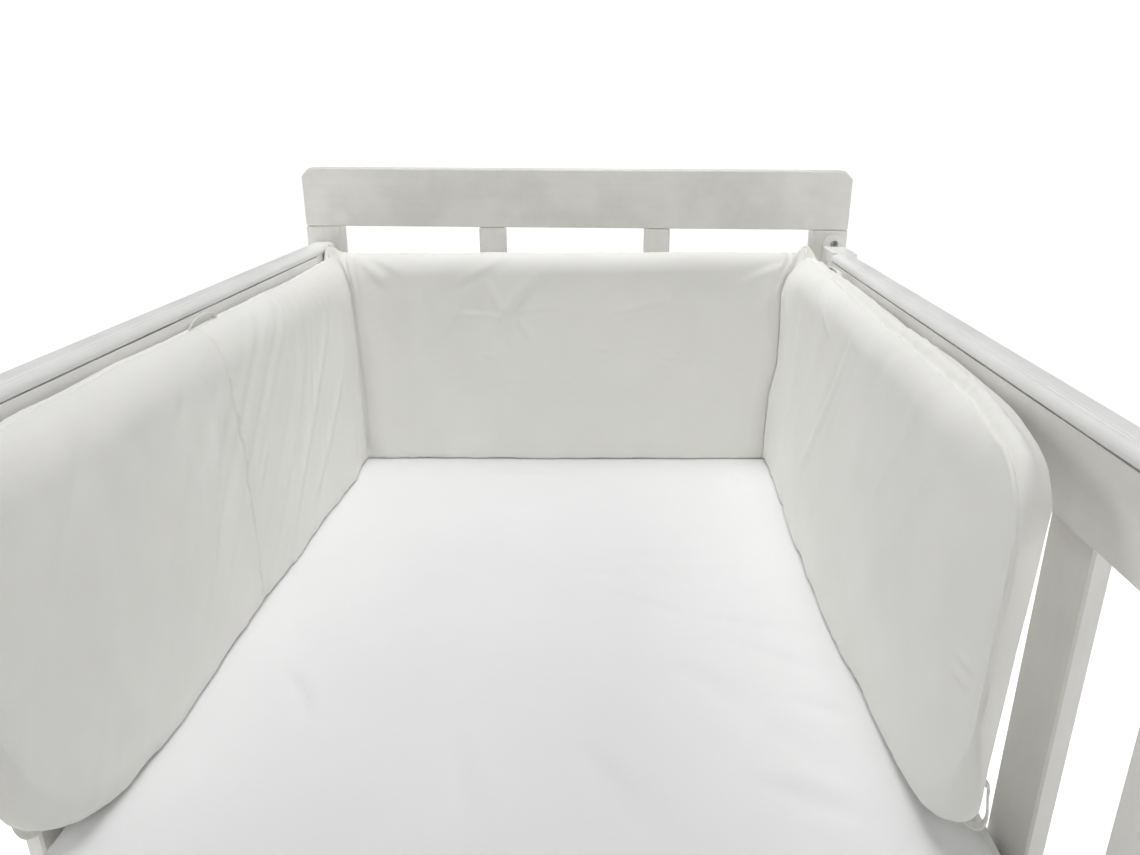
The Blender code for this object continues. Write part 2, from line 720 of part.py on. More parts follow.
def add_side(name, sign, start):
    """One long side: cap, top board with its groove, slats and bottom rail."""
    def place(x, z, y):
        return (sign * x, y, z)

    near, far = HEAD - start, -HEAD + start
    cap_low = CAP_TOP - CAP_THICK
    outline = [(RAIL + CAP_OUT, cap_low), (RAIL + CAP_OUT, CAP_TOP)]
    for i in range(CAP_STEPS + 1):
        turn = pi / 2 * i / CAP_STEPS
        x = RAIL + CAP_ROUND * (1 - sin(turn))
        outline.append((x, CAP_TOP - CAP_ROUND * (1 - cos(turn))))
    outline.append((RAIL, cap_low))
    cap_near = HEAD - GAP if sign < 0 else near
    shape = extruded(outline, place, cap_near, -cap_near if sign < 0 else far)
    add_object(f"{name}_cap", shape, PALE_PAINT, round_piece=True)

    board_top, board_low = cap_low - GAP, cap_low - SIDE_BOARD_TALL
    groove_low = board_top - GROOVE_TALL
    board_out = RAIL + SIDE_BOARD_THICK
    outline = [
        (RAIL, board_low), (board_out, board_low), (board_out, board_top),
        (RAIL + GROOVE_DEEP, board_top), (RAIL + GROOVE_DEEP, groove_low), (RAIL, groove_low),
    ]
    shape = extruded(outline, place, near, far)
    add_object(f"{name}_top_board", shape, PALE_PAINT)

    edges = sorted((sign * RAIL, sign * board_out))
    half_length = HEAD - GAP
    bottom_top = BOTTOM_RAIL_LOW + BOTTOM_RAIL_TALL
    add_board(
        f"{name}_bottom_rail", (edges[0], -half_length, BOTTOM_RAIL_LOW),
        (edges[1], half_length, bottom_top), PALE_PAINT,
    )
    add_side_slats(name, sign, bottom_top + GAP, board_low - GAP)


def add_side_slats(name, sign, low, high):
    slat_in = RAIL + (SIDE_BOARD_THICK - SLAT_THICK) / 2
    edges = sorted((sign * slat_in, sign * (slat_in + SLAT_THICK)))
    run = 2 * (HEAD - BLOCK_LENGTH)
    gap = (run - SIDE_SLATS * SIDE_SLAT_WIDTH) / (SIDE_SLATS - 1)
    for i in range(SIDE_SLATS):
        y = -run / 2 + i * (gap + SIDE_SLAT_WIDTH)
        add_board(
            f"{name}_slat_{i + 1}", (edges[0], y, low),
            (edges[1], y + SIDE_SLAT_WIDTH, high), PALE_PAINT,
        )


def add_bracket(name, sign):
    """The moulded bracket that carries the right rail at a post: a box with a round plate."""
    low = (RAIL + BRACKET_INSET, HEAD - BLOCK_LENGTH, CAP_TOP - BRACKET_TALL)
    high = (RAIL + BRACKET_INSET + BRACKET_WIDTH, HEAD - GAP, CAP_TOP)
    size = Vector(high) - Vector(low)
    centre = (Vector(low) + Vector(high)) / 2
    shape = bmesh.new()
    bmesh.ops.create_cube(shape, size=1.0)
    bmesh.ops.scale(shape, vec=size, verts=shape.verts)
    bmesh.ops.translate(shape, vec=(centre.x, sign * centre.y, centre.z), verts=shape.verts)
    bracket = add_object(name, shape, WHITE_PLASTIC)

    outline = []
    for i in range(LOBE_STEPS + 1):
        turn = pi * i / LOBE_STEPS
        z = CAP_TOP + LOBE_RISE + LOBE_RADIUS * sin(turn)
        outline.append((centre.x + LOBE_RADIUS * cos(turn), z))
    for side in (-1, 1):
        outline.append((centre.x + side * LOBE_RADIUS, CAP_TOP - LOBE_SKIRT))
    face = sign * (HEAD - GAP)
    shape = extruded(outline, lambda x, z, y: (x, y, z), face, face - sign * LOBE_THICK)
    plate = add_object(f"{name}_plate", shape, WHITE_PLASTIC)
    plate.hide_render = True
    plate.display_type = "WIRE"
    join = bracket.modifiers.new("round plate", "BOOLEAN")
    join.operation = "UNION"
    join.solver = "EXACT"
    join.object = plate
    return bracket


def add_left_block():
    """The block under the left cap that ties its board to the head post."""
    low_x, high_x = -RAIL - SIDE_BOARD_THICK, -RAIL - GROOVE_DEEP
    top = CAP_TOP - CAP_THICK - GAP
    add_board(
        "left_side_head_block", (low_x, HEAD - BLOCK_LENGTH + GAP, top - SIDE_BOARD_TALL),
        (high_x, HEAD - GAP, top), PALE_PAINT,
    )


def clear_scene():
    for item in list(bpy.data.objects):
        bpy.data.objects.remove(item, do_unlink=True)


def build():
    clear_scene()
    add_bumper()
    for name, loop in TOP_LOOPS.items():
        add_top_loop(name, loop)
    add_low_loop("tie_loop_right_low", RIGHT_PANEL, 1)
    add_low_loop("tie_loop_left_low", LEFT_PANEL, -1)
    add_sheet()
    add_mattress()
    add_bed_base()
    add_end_boards()
    add_side("left_side", -1, BLOCK_LENGTH)
    add_side("right_side", 1, BLOCK_LENGTH + RIGHT_SIDE_PLAY)
    add_bracket("rail_bracket_head", 1)
    add_bracket("rail_bracket_foot", -1)
    add_left_block()


build()
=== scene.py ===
"""Looks of the crib bumper: its filled cotton strip, tape loops, fitted sheet and painted crib.

Metres, +Z up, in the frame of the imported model. A distance "from head" runs from the
headboard's inner face toward the foot, an inset is measured inward from the face that a panel
of the bumper stands against, and a height is measured up from the top of the sheet.
"""

from collections import namedtuple
from math import cos, hypot, pi, sin, sqrt

import bmesh
import bpy
import numpy as np
from mathutils import Matrix, Vector


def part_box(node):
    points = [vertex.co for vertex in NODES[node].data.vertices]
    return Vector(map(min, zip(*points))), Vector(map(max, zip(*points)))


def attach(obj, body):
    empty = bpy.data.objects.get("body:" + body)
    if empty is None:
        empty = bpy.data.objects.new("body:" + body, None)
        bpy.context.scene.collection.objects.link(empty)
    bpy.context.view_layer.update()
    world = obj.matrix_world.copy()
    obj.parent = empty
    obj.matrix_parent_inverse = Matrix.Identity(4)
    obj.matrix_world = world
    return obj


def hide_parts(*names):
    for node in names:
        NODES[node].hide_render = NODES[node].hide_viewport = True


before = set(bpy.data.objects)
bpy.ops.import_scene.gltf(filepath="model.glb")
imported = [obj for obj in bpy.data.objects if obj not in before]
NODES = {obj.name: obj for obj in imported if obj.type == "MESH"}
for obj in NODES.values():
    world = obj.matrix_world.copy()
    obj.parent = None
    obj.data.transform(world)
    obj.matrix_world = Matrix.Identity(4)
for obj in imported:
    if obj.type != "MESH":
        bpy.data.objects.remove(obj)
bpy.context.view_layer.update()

# The crib's main faces, read from the frame
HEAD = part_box("headboard_top_rail")[0].y
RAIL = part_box("right_side_bottom_rail")[0].x
CAP_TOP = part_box("right_side_cap")[1].z
SLEEP_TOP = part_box("fitted_sheet")[1].z


# Camera and light

CAMERA_PLACE = Vector((0.05389, -0.50844, 0.95390))
CAMERA_YAW = 0.035
CAMERA_PITCH = 0.346
CAMERA_ROLL = 0.004
PHOTO_WIDTH = 1140
PHOTO_FOCAL = 864.17
PHOTO_SHIFT = -15
SENSOR = 36


def add_object(name, data):
    made = bpy.data.objects.new(name, data)
    bpy.context.scene.collection.objects.link(made)
    return made


def add_camera():
    """The camera at the photograph's place, looking down over the foot of the crib."""
    data = bpy.data.cameras.new("view")
    data.sensor_width = SENSOR
    data.lens = SENSOR * PHOTO_FOCAL / PHOTO_WIDTH
    data.shift_x = PHOTO_SHIFT / PHOTO_WIDTH
    data.clip_start = 0.01
    camera = add_object("view", data)
    camera.matrix_world = (
        Matrix.Translation(CAMERA_PLACE) @ Matrix.Rotation(CAMERA_YAW, 4, "Z")
        @ Matrix.Rotation(pi / 2 - CAMERA_PITCH, 4, "X") @ Matrix.Rotation(CAMERA_ROLL, 4, "Z")
    )
    bpy.context.scene.camera = camera


LIGHT_AIM = Vector((0.0, 0.30, 0.6))
Lamp = namedtuple("Lamp", "name place size power")
LAMPS = [
    Lamp("overhead", (0.05, 0.50, 2.15), 0.9, 14.6),
    Lamp("front", (-0.1, -3.0, 2.2), 2.0, 20.4),
    Lamp("left side", (-2.6, 0.5, 2.2), 1.0, 14.2),
    Lamp("left, behind", (-1.7, 1.3, 2.3), 0.8, 3.2),
    Lamp("right, behind", (1.7, 1.3, 2.3), 0.6, 5.4),
    Lamp("right, in front", (1.9, -0.7, 2.3), 0.9, 4.4),
    Lamp("over the foot", (0.0, -0.7, 2.3), 1.2, 1.8),
]
ROOM_LIGHT = 0.04
BACKGROUND_WHITE = 1.05


def add_lamps():
    for lamp in LAMPS:
        data = bpy.data.lights.new(lamp.name, "AREA")
        data.shape = "DISK"
        data.size = lamp.size
        data.energy = lamp.power
        holder = add_object(lamp.name, data)
        holder.location = lamp.place
        aim = LIGHT_AIM - Vector(lamp.place)
        holder.rotation_euler = aim.to_track_quat("-Z", "Y").to_euler()


def add_room():
    """White surroundings: a little light from all round, and plain white behind the part."""
    world = bpy.data.worlds.new("white room")
    world.use_nodes = True
    nodes, links = world.node_tree.nodes, world.node_tree.links
    nodes.clear()
    choose = nodes.new("ShaderNodeMixShader")
    for strength, place in ((ROOM_LIGHT, 1), (BACKGROUND_WHITE, 2)):
        shade = nodes.new("ShaderNodeBackground")
        shade.inputs["Color"].default_value = (1.0, 1.0, 1.0, 1.0)
        shade.inputs["Strength"].default_value = strength
        links.new(shade.outputs[0], choose.inputs[place])
    path = nodes.new("ShaderNodeLightPath")
    links.new(path.outputs["Is Camera Ray"], choose.inputs["Fac"])
    output = nodes.new("ShaderNodeOutputWorld")
    links.new(choose.outputs[0], output.inputs["Surface"])
    bpy.context.scene.world = world
    bpy.context.scene.view_settings.view_transform = "Standard"


# Shader maths: a socket of a material's tree, with arithmetic that adds its nodes

class Flow:
    """One value in a material. + - * with numbers or other flows add Math nodes."""

    def __init__(self, finish, socket):
        self.finish = finish
        self.socket = socket

    def maths(self, operation, other):
        values = {0: self.socket, 1: other}
        return self.finish.node("ShaderNodeMath", {"operation": operation}, values)

    def __add__(self, other):
        return self.maths("ADD", other)

    __radd__ = __add__

    def __mul__(self, other):
        return self.maths("MULTIPLY", other)

    __rmul__ = __mul__

    def __sub__(self, other):
        return self.maths("SUBTRACT", other)

    def __rsub__(self, other):
        return (self * -1.0) + other

    def between(self, low, high):
        """0 at low, 1 at high, smooth in between; low may be the greater."""
        values = {"Value": self.socket, "From Min": low, "From Max": high}
        settings = {"interpolation_type": "SMOOTHSTEP"}
        return self.finish.node("ShaderNodeMapRange", settings, values)


class Finish:
    """A material being made: node() adds any node, and the named helpers add common ones."""

    def __init__(self, name, roughness, **constants):
        self.material = bpy.data.materials.new(name)
        self.material.use_nodes = True
        self.tree = self.material.node_tree
        self.shader = self.tree.nodes["Principled BSDF"]
        self.shader.inputs["Roughness"].default_value = roughness
        for socket, value in constants.items():
            self.shader.inputs[socket.replace("_", " ")].default_value = value

    def node(self, kind, settings=None, values=None, output=0):
        made = self.tree.nodes.new(kind)
        for name, value in (settings or {}).items():
            setattr(made, name, value)
        for name, value in (values or {}).items():
            self.feed(made.inputs[name], value)
        return Flow(self, made.outputs[output])

    def feed(self, socket, value):
        if isinstance(value, Flow):
            value = value.socket
        if isinstance(value, bpy.types.NodeSocket):
            self.tree.links.new(value, socket)
        elif isinstance(value, tuple) and len(value) == 3 and socket.type == "RGBA":
            socket.default_value = (*value, 1.0)
        else:
            socket.default_value = value

    def place(self):
        """Where a point is on the object, in metres."""
        return self.node("ShaderNodeTexCoord", output=3)

    def cloth_place(self):
        """Where a point is on the flat cloth, in metres."""
        return self.node("ShaderNodeUVMap", {"uv_map": "cloth"})

    def axis(self, vector, name):
        return self.node("ShaderNodeSeparateXYZ", None, {0: vector}, "XYZ".index(name))

    def vectors(self, operation, first, second, output=0):
        settings = {"operation": operation}
        return self.node("ShaderNodeVectorMath", settings, {0: first, 1: second}, output)

    def scaled(self, vector, factors):
        return self.vectors("MULTIPLY", vector, factors)

    def away_from(self, vector, point):
        """The distance of a place from a point."""
        return self.vectors("DISTANCE", vector, point, output=1)

    def noise(self, vector, scale, detail=3.0, roughness=0.5):
        values = {"Vector": vector, "Scale": scale, "Detail": detail, "Roughness": roughness}
        return self.node("ShaderNodeTexNoise", None, values)

    def wave(self, vector, scale, direction, distortion=0.0):
        settings = {"wave_type": "BANDS", "bands_direction": direction, "wave_profile": "SIN"}
        values = {"Vector": vector, "Scale": scale, "Distortion": distortion, "Detail": 1.0}
        return self.node("ShaderNodeTexWave", settings, values, output=1)

    def blend(self, share, first, second):
        settings = {"data_type": "RGBA", "blend_type": "MIX"}
        return self.node("ShaderNodeMix", settings, {0: share, 6: first, 7: second}, output=2)

    def colour(self, value):
        self.feed(self.shader.inputs["Base Color"], value)

    def rough(self, value):
        self.feed(self.shader.inputs["Roughness"], value)

    def raise_by(self, height, strength, depth):
        values = {"Height": height, "Strength": strength, "Distance": depth}
        self.feed(self.shader.inputs["Normal"], self.node("ShaderNodeBump", None, values))


THREAD_PITCH = 0.0009
WAVE_SCALE = 2 * pi / THREAD_PITCH / 20


def woven(name, light, dark, weave_depth, sheen, crumple=0.35):
    """Plain-woven cotton: crossing threads, uneven yarn, a faint crumple and mottling."""
    made = Finish(name, 0.86, Sheen_Weight=sheen, Sheen_Roughness=0.5, Specular_IOR_Level=0.25)
    cloth = made.cloth_place()
    warp = made.wave(cloth, WAVE_SCALE, "X", 0.6)
    weft = made.wave(cloth, WAVE_SCALE, "Y", 0.6)
    slub = made.noise(made.scaled(cloth, (900.0, 90.0, 1.0)), 1.0, 2.0)
    weave = warp * weft * 0.6 + slub * 0.5
    soft = made.noise(made.place(), 34.0, 4.0, 0.6)
    mottle = made.noise(made.place(), 9.0, 3.0, 0.55)
    shade = (mottle * 0.7 + weave * 0.3).between(0.25, 0.75)
    made.colour(made.blend(shade, dark, light))
    made.rough(soft * 0.10 + 0.80)
    made.raise_by(weave * 0.18 + soft * crumple, 0.5, weave_depth)
    return made.material


def painted(name, light, dark, roughness, along, streak=1.0, cloud=0.75, pale_spots=None):
    """Brushed paint on wood: brush lines along the board and a blotchy, uneven coat.

    The pale spots are paler places, each a point and the reach of its soft edge.
    """
    made = Finish(name, roughness, Specular_IOR_Level=0.4)
    place = made.place()
    stretch = {"X": (3.0, 160.0, 160.0), "Y": (160.0, 3.0, 160.0), "Z": (160.0, 160.0, 3.0)}
    lines = made.noise(made.scaled(place, stretch[along]), 1.0, 3.0, 0.6)
    blotch = made.noise(place, 13.0, 5.0, 0.62)
    grit = made.noise(place, 420.0, 2.0)
    shade = (blotch * cloud + lines * (1.0 - cloud) * streak).between(0.32, 0.68)
    colour = made.blend(shade, dark, light)
    # paler patches blended in round the given points
    for point, reach in pale_spots or ():
        near = (made.away_from(place, point) + blotch * 0.03).between(reach + 0.015, reach)
        colour = made.blend(near * 0.55, colour, tuple(1.1 * part for part in light))
    made.colour(colour)
    made.rough(blotch * 0.18 + (roughness - 0.09))
    made.raise_by(lines * 0.5 * streak + grit * 0.25 + blotch * 0.3, 0.35, 0.0006)
    return made.material


# How far out from the rail's inner face a cap's coat gets a painted highlight, and where it gets painted
# shade
HIGHLIGHT_STARTS = (0.0065, 0.0085)
HIGHLIGHT_ENDS = (0.0125, 0.0095)
CAP_SHADED = (0.0050, 0.0015)


def cap_paint(name, light, dark, edge, side):
    """Brushed paint on a rail's cap, with a painted highlight where its inner edge starts to round over
    and painted shade on the rounding below it.
    """
    made = Finish(name, 0.40, Specular_IOR_Level=0.5)
    place = made.place()
    lines = made.noise(made.scaled(place, (260.0, 4.0, 260.0)), 1.0, 4.0, 0.65)
    blotch = made.noise(place, 15.0, 4.0, 0.6)
    shade = (blotch * 0.55 + lines * 0.45).between(0.34, 0.66)
    out = made.axis(place, "X") * side - RAIL
    # painted highlight: a paler band where the inner edge starts to round over
    painted_highlight = out.between(*HIGHLIGHT_STARTS) * out.between(*HIGHLIGHT_ENDS)
    coat = made.blend(painted_highlight * (lines * 0.6 + 0.5), made.blend(shade, dark, light), edge)
    # painted shade: darker on the lower rounding, toward the rail's face and its groove
    made.colour(made.blend(out.between(*CAP_SHADED) * 0.5, coat, dark))
    made.rough(blotch * 0.2 + 0.28)
    made.raise_by(lines * 0.6 + blotch * 0.3, 0.4, 0.0006)
    return made.material


def plain_plastic(name, colour):
    made = Finish(name, 0.36, Specular_IOR_Level=0.5)
    grain = made.noise(made.place(), 900.0, 2.0)
    tone = made.noise(made.place(), 30.0, 2.0)
    made.colour(made.blend(tone, tuple(0.94 * c for c in colour), colour))
    made.rough(tone * 0.12 + 0.30)
    made.raise_by(grain, 0.15, 0.0002)
    return made.material


def bare_plywood(name):
    made = Finish(name, 0.7)
    place = made.place()
    grain = made.noise(made.scaled(place, (120.0, 5.0, 120.0)), 1.0, 4.0, 0.65)
    made.colour(made.blend(grain.between(0.3, 0.7), (0.50, 0.37, 0.23), (0.66, 0.53, 0.37)))
    made.rough(grain * 0.15 + 0.6)
    made.raise_by(grain, 0.4, 0.0005)
    return made.material


def screw_metal(name):
    made = Finish(name, 0.35, Metallic=1.0)
    scratch = made.noise(made.place(), 500.0, 3.0)
    made.colour(made.blend(scratch, (0.30, 0.30, 0.31), (0.46, 0.46, 0.47)))
    made.rough(scratch * 0.2 + 0.25)
    return made.material


COTTON = woven("white cotton", (0.898, 0.893, 0.863), (0.846, 0.841, 0.811), 0.0004, 0.06)
SHEET_COTTON = woven("sheet cotton", (0.885, 0.89, 0.895), (0.865, 0.87, 0.875), 0.0003, 0.05, 0.2)
TAPE_COTTON = woven("woven tape", (0.88, 0.88, 0.85), (0.80, 0.80, 0.77), 0.0004, 0.05)
TICKING = woven("mattress ticking", (0.76, 0.76, 0.72), (0.68, 0.68, 0.64), 0.0006, 0.1)
# Two paler spots low on the headboard, near its corners
BOARD_PALE_SPOTS = [((-0.297, HEAD, CAP_TOP + 0.030), 0.016), ((0.296, HEAD, CAP_TOP + 0.029), 0.017)]
GREY_ACROSS = painted(
    "grey paint across", (0.86, 0.85, 0.81), (0.76, 0.75, 0.71), 0.5, "X", 1.0, 0.85, BOARD_PALE_SPOTS
)
GREY_UPRIGHT = painted("grey paint upright", (0.88, 0.87, 0.83), (0.80, 0.79, 0.75), 0.5, "Z")
# The third colour of each cap is its painted highlight.
CAP_LEFT = cap_paint("left cap paint", (0.91, 0.91, 0.90), (0.83, 0.83, 0.82), (0.96, 0.96, 0.95), -1)
CAP_RIGHT = cap_paint("right cap paint", (0.90, 0.90, 0.89), (0.84, 0.84, 0.83), (0.96, 0.96, 0.95), 1)
# The left and right rails share one pale paint: the left copy is painted lighter as painted light, the
# right copy darker as painted shade.
PALE_LEFT_LIT = painted("pale paint left lit", (0.96, 0.955, 0.94), (0.92, 0.915, 0.90), 0.42, "Y")
PALE_RIGHT_SHADED = painted("pale paint right shaded", (0.84, 0.83, 0.80), (0.78, 0.77, 0.74), 0.42, "Y")
PALE_UPRIGHT = painted("pale paint upright", (0.86, 0.85, 0.82), (0.80, 0.79, 0.76), 0.45, "Z")
PLASTIC = plain_plastic("white plastic", (0.90, 0.90, 0.88))
PLYWOOD = bare_plywood("plywood")
SCREW = screw_metal("screw metal")


# By the start of a node's name: the paint of its long boards and that of its upright ones
BOARD_PAINTS = {
    "headboard": (GREY_ACROSS, GREY_UPRIGHT), "footboard": (GREY_ACROSS, GREY_UPRIGHT),
    "left_side": (PALE_LEFT_LIT, PALE_UPRIGHT), "right_side": (PALE_RIGHT_SHADED, PALE_UPRIGHT),
    # The base's sides and the left block also wear the lighter, painted-light copy of the pale paint.
    "base_side": (PALE_LEFT_LIT, PALE_LEFT_LIT), "base_panel": (PLYWOOD, PLYWOOD),
}


def finish_boards():
    """Give each board of the crib its paint, brushed along its own length."""
    for name, node in NODES.items():
        low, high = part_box(name)
        size = high - low
        for start, paints in BOARD_PAINTS.items():
            if name.startswith(start):
                node.data.materials.clear()
                node.data.materials.append(paints[size.z > max(size.x, size.y)])


# Shapes as arrays of points

def smooth_step(value):
    value = np.clip(value, 0.0, 1.0)
    return value * value * (3 - 2 * value)


def mix(a, b, share):
    return a + (b - a) * share


def together(*parts):
    """Arrays or numbers side by side, as points or faces."""
    return np.stack(np.broadcast_arrays(*parts), axis=-1)


def curve(before, start, end, after, share):
    """A place between start and end, on a smooth curve that also heeds their neighbours."""
    return (
        mix(start, end, smooth_step(share)) + (end - before) / 2 * share * (1 - share) ** 2
        - (after - start) / 2 * share * share * (1 - share)
    )


def hump(distance, width):
    """1 in the middle, falling off softly to both sides."""
    return np.exp(-(distance / width) ** 2)


def spread(start, end, step, close, places):
    """Places from start to end, a step apart, and a close step apart near the given places."""
    at = np.linspace(start, end, 4001)
    density = np.full_like(at, 1 / step)
    for middle, reach in places:
        density += (1 / close - 1 / step) * hump(at - middle, reach)
    count = np.concatenate([[0.0], np.cumsum((density[1:] + density[:-1]) / 2)])
    count *= abs(end - start) / (len(at) - 1)
    return np.interp(np.linspace(0, count[-1], round(count[-1]) + 1), count, at)


NOISE_CELLS = 64


def soft_noise(x, y, seed):
    """Smooth noise of wavelength about 1 at arrays of places, from -1 to 1."""
    grid = np.random.default_rng(seed).uniform(-1, 1, (NOISE_CELLS, NOISE_CELLS))
    column, row = np.floor(x).astype(int), np.floor(y).astype(int)
    fx, fy = smooth_step(x - column), smooth_step(y - row)
    corners = [
        grid[(row + j) % NOISE_CELLS, (column + i) % NOISE_CELLS] for j in (0, 1) for i in (0, 1)
    ]
    return mix(mix(corners[0], corners[1], fx), mix(corners[2], corners[3], fx), fy)


def add_mesh(name, points, faces, finish, cloth=None):
    """An object of smooth faces; cloth has each point's place on the flat cloth."""
    mesh = bpy.data.meshes.new(name)
    mesh.from_pydata(np.asarray(points).reshape(-1, 3).tolist(), [], faces)
    if cloth is not None:
        layer = mesh.uv_layers.new(name="cloth")
        corners = np.zeros(len(mesh.loops), int)
        mesh.loops.foreach_get("vertex_index", corners)
        flat = np.asarray(cloth).reshape(-1, 2)[corners]
        layer.data.foreach_set("uv", flat.astype(np.float32).ravel())
    mesh.materials.append(finish)
    shape = bmesh.new()
    shape.from_mesh(mesh)
    bmesh.ops.recalc_face_normals(shape, faces=shape.faces)
    shape.to_mesh(mesh)
    shape.free()
    mesh.shade_smooth()
    return add_object(name, mesh)


def stands_for(piece, node):
    """A finer piece rides on the part in place of a node, which is hidden."""
    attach(piece, "root")
    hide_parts(node)


def quads(*corners):
    """Four-cornered faces from arrays of their corners."""
    return together(*corners).reshape(-1, 4)


def add_tube(name, rings, finish, cloth=None):
    """An object between rings of points, with both ends capped."""
    rows, columns = rings.shape[:2]
    index = np.arange(rows * columns).reshape(rows, columns)
    beside = np.roll(index, -1, axis=1)
    sides = quads(index[:-1], beside[:-1], beside[1:], index[1:])
    faces = sides.tolist() + [index[0, ::-1].tolist(), index[-1].tolist()]
    return add_mesh(name, rings, faces, finish, cloth)


def run_along(points):
    """The distance from the first point of a row along the row."""
    steps = np.linalg.norm(np.diff(points, axis=-2), axis=-1)
    return np.insert(np.cumsum(steps, axis=-1), 0, 0.0, axis=-1)


def normals_of(points):
    """Unit normals of rows of points that each close into a ring."""
    along = np.gradient(points, axis=0)
    around = np.roll(points, -1, axis=1) - np.roll(points, 1, axis=1)
    normal = np.cross(around, along)
    length = np.linalg.norm(normal, axis=-1, keepdims=True)
    return normal / np.maximum(length, 1e-12)


# The bumper's form, from sections of its three panels

def in_metres(kind, *rows):
    """A table's rows, written in millimetres, as named tuples in metres."""
    return [kind(*(value / 1000 for value in row)) for row in rows]


# along: from head on the side panels, x on the head panel; foot and shoulder: inset of the front
# face low and high; thick: at the foot; back: inset of the back face at the top; crest: height
# of the top; seam: inset of the crest; turn: how far below it the front starts to round over.
Section = namedtuple("Section", "along foot shoulder thick back crest seam turn")
RIGHT_PANEL = in_metres(
    Section,
    (40, 57.5, 48, 46, 4, 264, 23, 46), (80, 57.5, 49, 47, 3, 266.5, 21.5, 34),
    (140, 58, 50, 48, 3, 267.5, 23.5, 27), (250, 63, 50.5, 48, 3, 269, 27.5, 25),
    (340, 65.5, 51.5, 48, 3, 270.5, 30, 25), (420, 65.5, 52.5, 47, 3, 269.5, 31.5, 26),
    (480, 63.5, 53, 45, 3, 271, 31.5, 25), (540, 60.5, 54, 42, 3, 270, 32, 26),
    (600, 59.5, 55, 37, 7, 270, 33.5, 26), (660, 59.5, 55.5, 29, 18, 269, 36.5, 26),
    (722, 59.5, 55, 17, 34, 268, 41, 26),
)
HEAD_PANEL = in_metres(
    Section,
    (-275, 64, 48.5, 52, 3, 264, 24, 32), (-200, 61.5, 48, 50, 3, 265.5, 24.5, 28),
    (-110, 58.5, 46, 49, 3, 267, 24, 26), (-10, 55, 43.5, 47, 3, 267.5, 22.5, 25),
    (90, 50.5, 41, 43, 3, 269, 21.5, 24), (180, 45.5, 38, 39, 3, 270, 20.5, 24),
    (265, 42, 36, 36, 3, 269, 19.5, 30),
)
LEFT_PANEL = in_metres(
    Section,
    (50, 49, 26, 41, 3, 263, 9, 36), (100, 46.5, 29, 39, 3, 260.5, 8.5, 37),
    (180, 45.5, 31.5, 38, 3, 259.5, 8.5, 37), (250, 44.5, 32.5, 38, 3, 260.5, 8.5, 38),
    (360, 44, 33.5, 37, 3, 261, 8.5, 37), (450, 44, 33, 37, 3, 259.5, 9, 38),
    (530, 45.5, 34, 38, 3, 260.5, 9, 36), (640, 46, 34.5, 37, 4, 260.5, 10, 36),
    (700, 45, 35.5, 34, 8, 259, 15, 34), (752, 44, 36, 29, 12, 258, 21, 32),
)
FOOT_ROUND = 0.0100
FOOT_CURL = 0.0045
FOOT_TUCK = 0.0008
END_FOOT_ROUND = 0.032
END_CURL = 0.018
END_CURL_REACH = 0.170
BACK_ROUND = 0.0160
CREASE_ROUND = 0.0025
END_ROUND = 0.0140
END_SEAM_SHARE = 0.10
END_SEAM_LOW_SHARE = 0.40
LOW_CORNER = 0.088
HIGH_CORNER = 0.040
CORNER_BLEND = 0.080
CORNER_BULGE = 0.007
LEAN_POWER = 1.4
SHOULDER_OUT_POWER = 0.9
SHOULDER_UP_POWER = 1.05
UNDER_SHARE = 0.45
SHOULDER_FINER = 1.45
BACK_FINER = 1.5
THINNEST = 0.001
LIFT_OFF = 0.0003
BACK_PLAY = 0.0008

# How far out of line each corner's crease runs, by its height
CREASE_WANDER = {
    1: ((0.0, 0.09, 0.135, 0.18, 0.22, 0.243, 0.262), (0.0, 0.0, 0.006, 0.004, 0.001, 0.005, 0.014)),
    -1: ((0.0, 0.05, 0.10, 0.15, 0.22, 0.245, 0.262), (0.008, 0.006, 0.004, 0.002, 0.0, 0.003, 0.008)),
}

# The gathered ear at each corner: how far it stands up, the share of the height that rises with
# it, how pointed it is along the top and how thin it is pressed.
LEFT_EAR = 0.0150
RIGHT_EAR = 0.0135
EAR_SHARE = 0.17
EAR_POINT = 2.5
EAR_PRESS = 0.55

# The seam across the left panel, which bows a little: heights and how far each lies from line
PANEL_SEAM = 0.4215
PANEL_SEAM_BOW = ((0.0, 0.03, 0.08, 0.15, 0.20, 0.26), (0.0085, 0.0060, 0.0015, -0.0025, -0.0015, 0.0020))
PANEL_SEAM_REACH = 0.050

# How much further in the right panel's top seam is sewn, by the distance from head
SEAM_FORWARD = ((0.10, 0.29, 0.60, 0.70), (0.0, 0.002, 0.005, 0.012))

# Fineness of the cloth's grid
ALONG_STEP = 0.0032
CLOSE_STEP = 0.0011
CORNER_STEPS = 26
END_TURNS = (6, 13, 21, 30, 39, 48, 58, 69, 80)
FOOT_STEPS = 5
FACE_STEPS = 78
SHOULDER_STEPS = 22
BACK_ROUND_STEPS = 16
BACK_STEPS = 12
UNDER_STEPS = 4


def section_at(panel, along):
    """The panel's section at a place, on a smooth curve through the table's rows."""
    if along <= panel[0].along:
        return panel[0]._replace(along=along)
    if along >= panel[-1].along:
        return panel[-1]._replace(along=along)
    index = next(i for i, row in enumerate(panel) if row.along > along)
    rows = [np.array(panel[min(max(index + i, 0), len(panel) - 1)]) for i in (-2, -1, 0, 1)]
    share = (along - panel[index - 1].along) / (panel[index].along - panel[index - 1].along)
    return Section(*curve(*rows, share))._replace(along=along)


def front_inset(row, height):
    """How far in the front face stands at a height."""
    share = np.clip(height / row.crest, 0.0, 1.0)
    return mix(row.foot - FOOT_TUCK, row.shoulder, share ** LEAN_POWER)


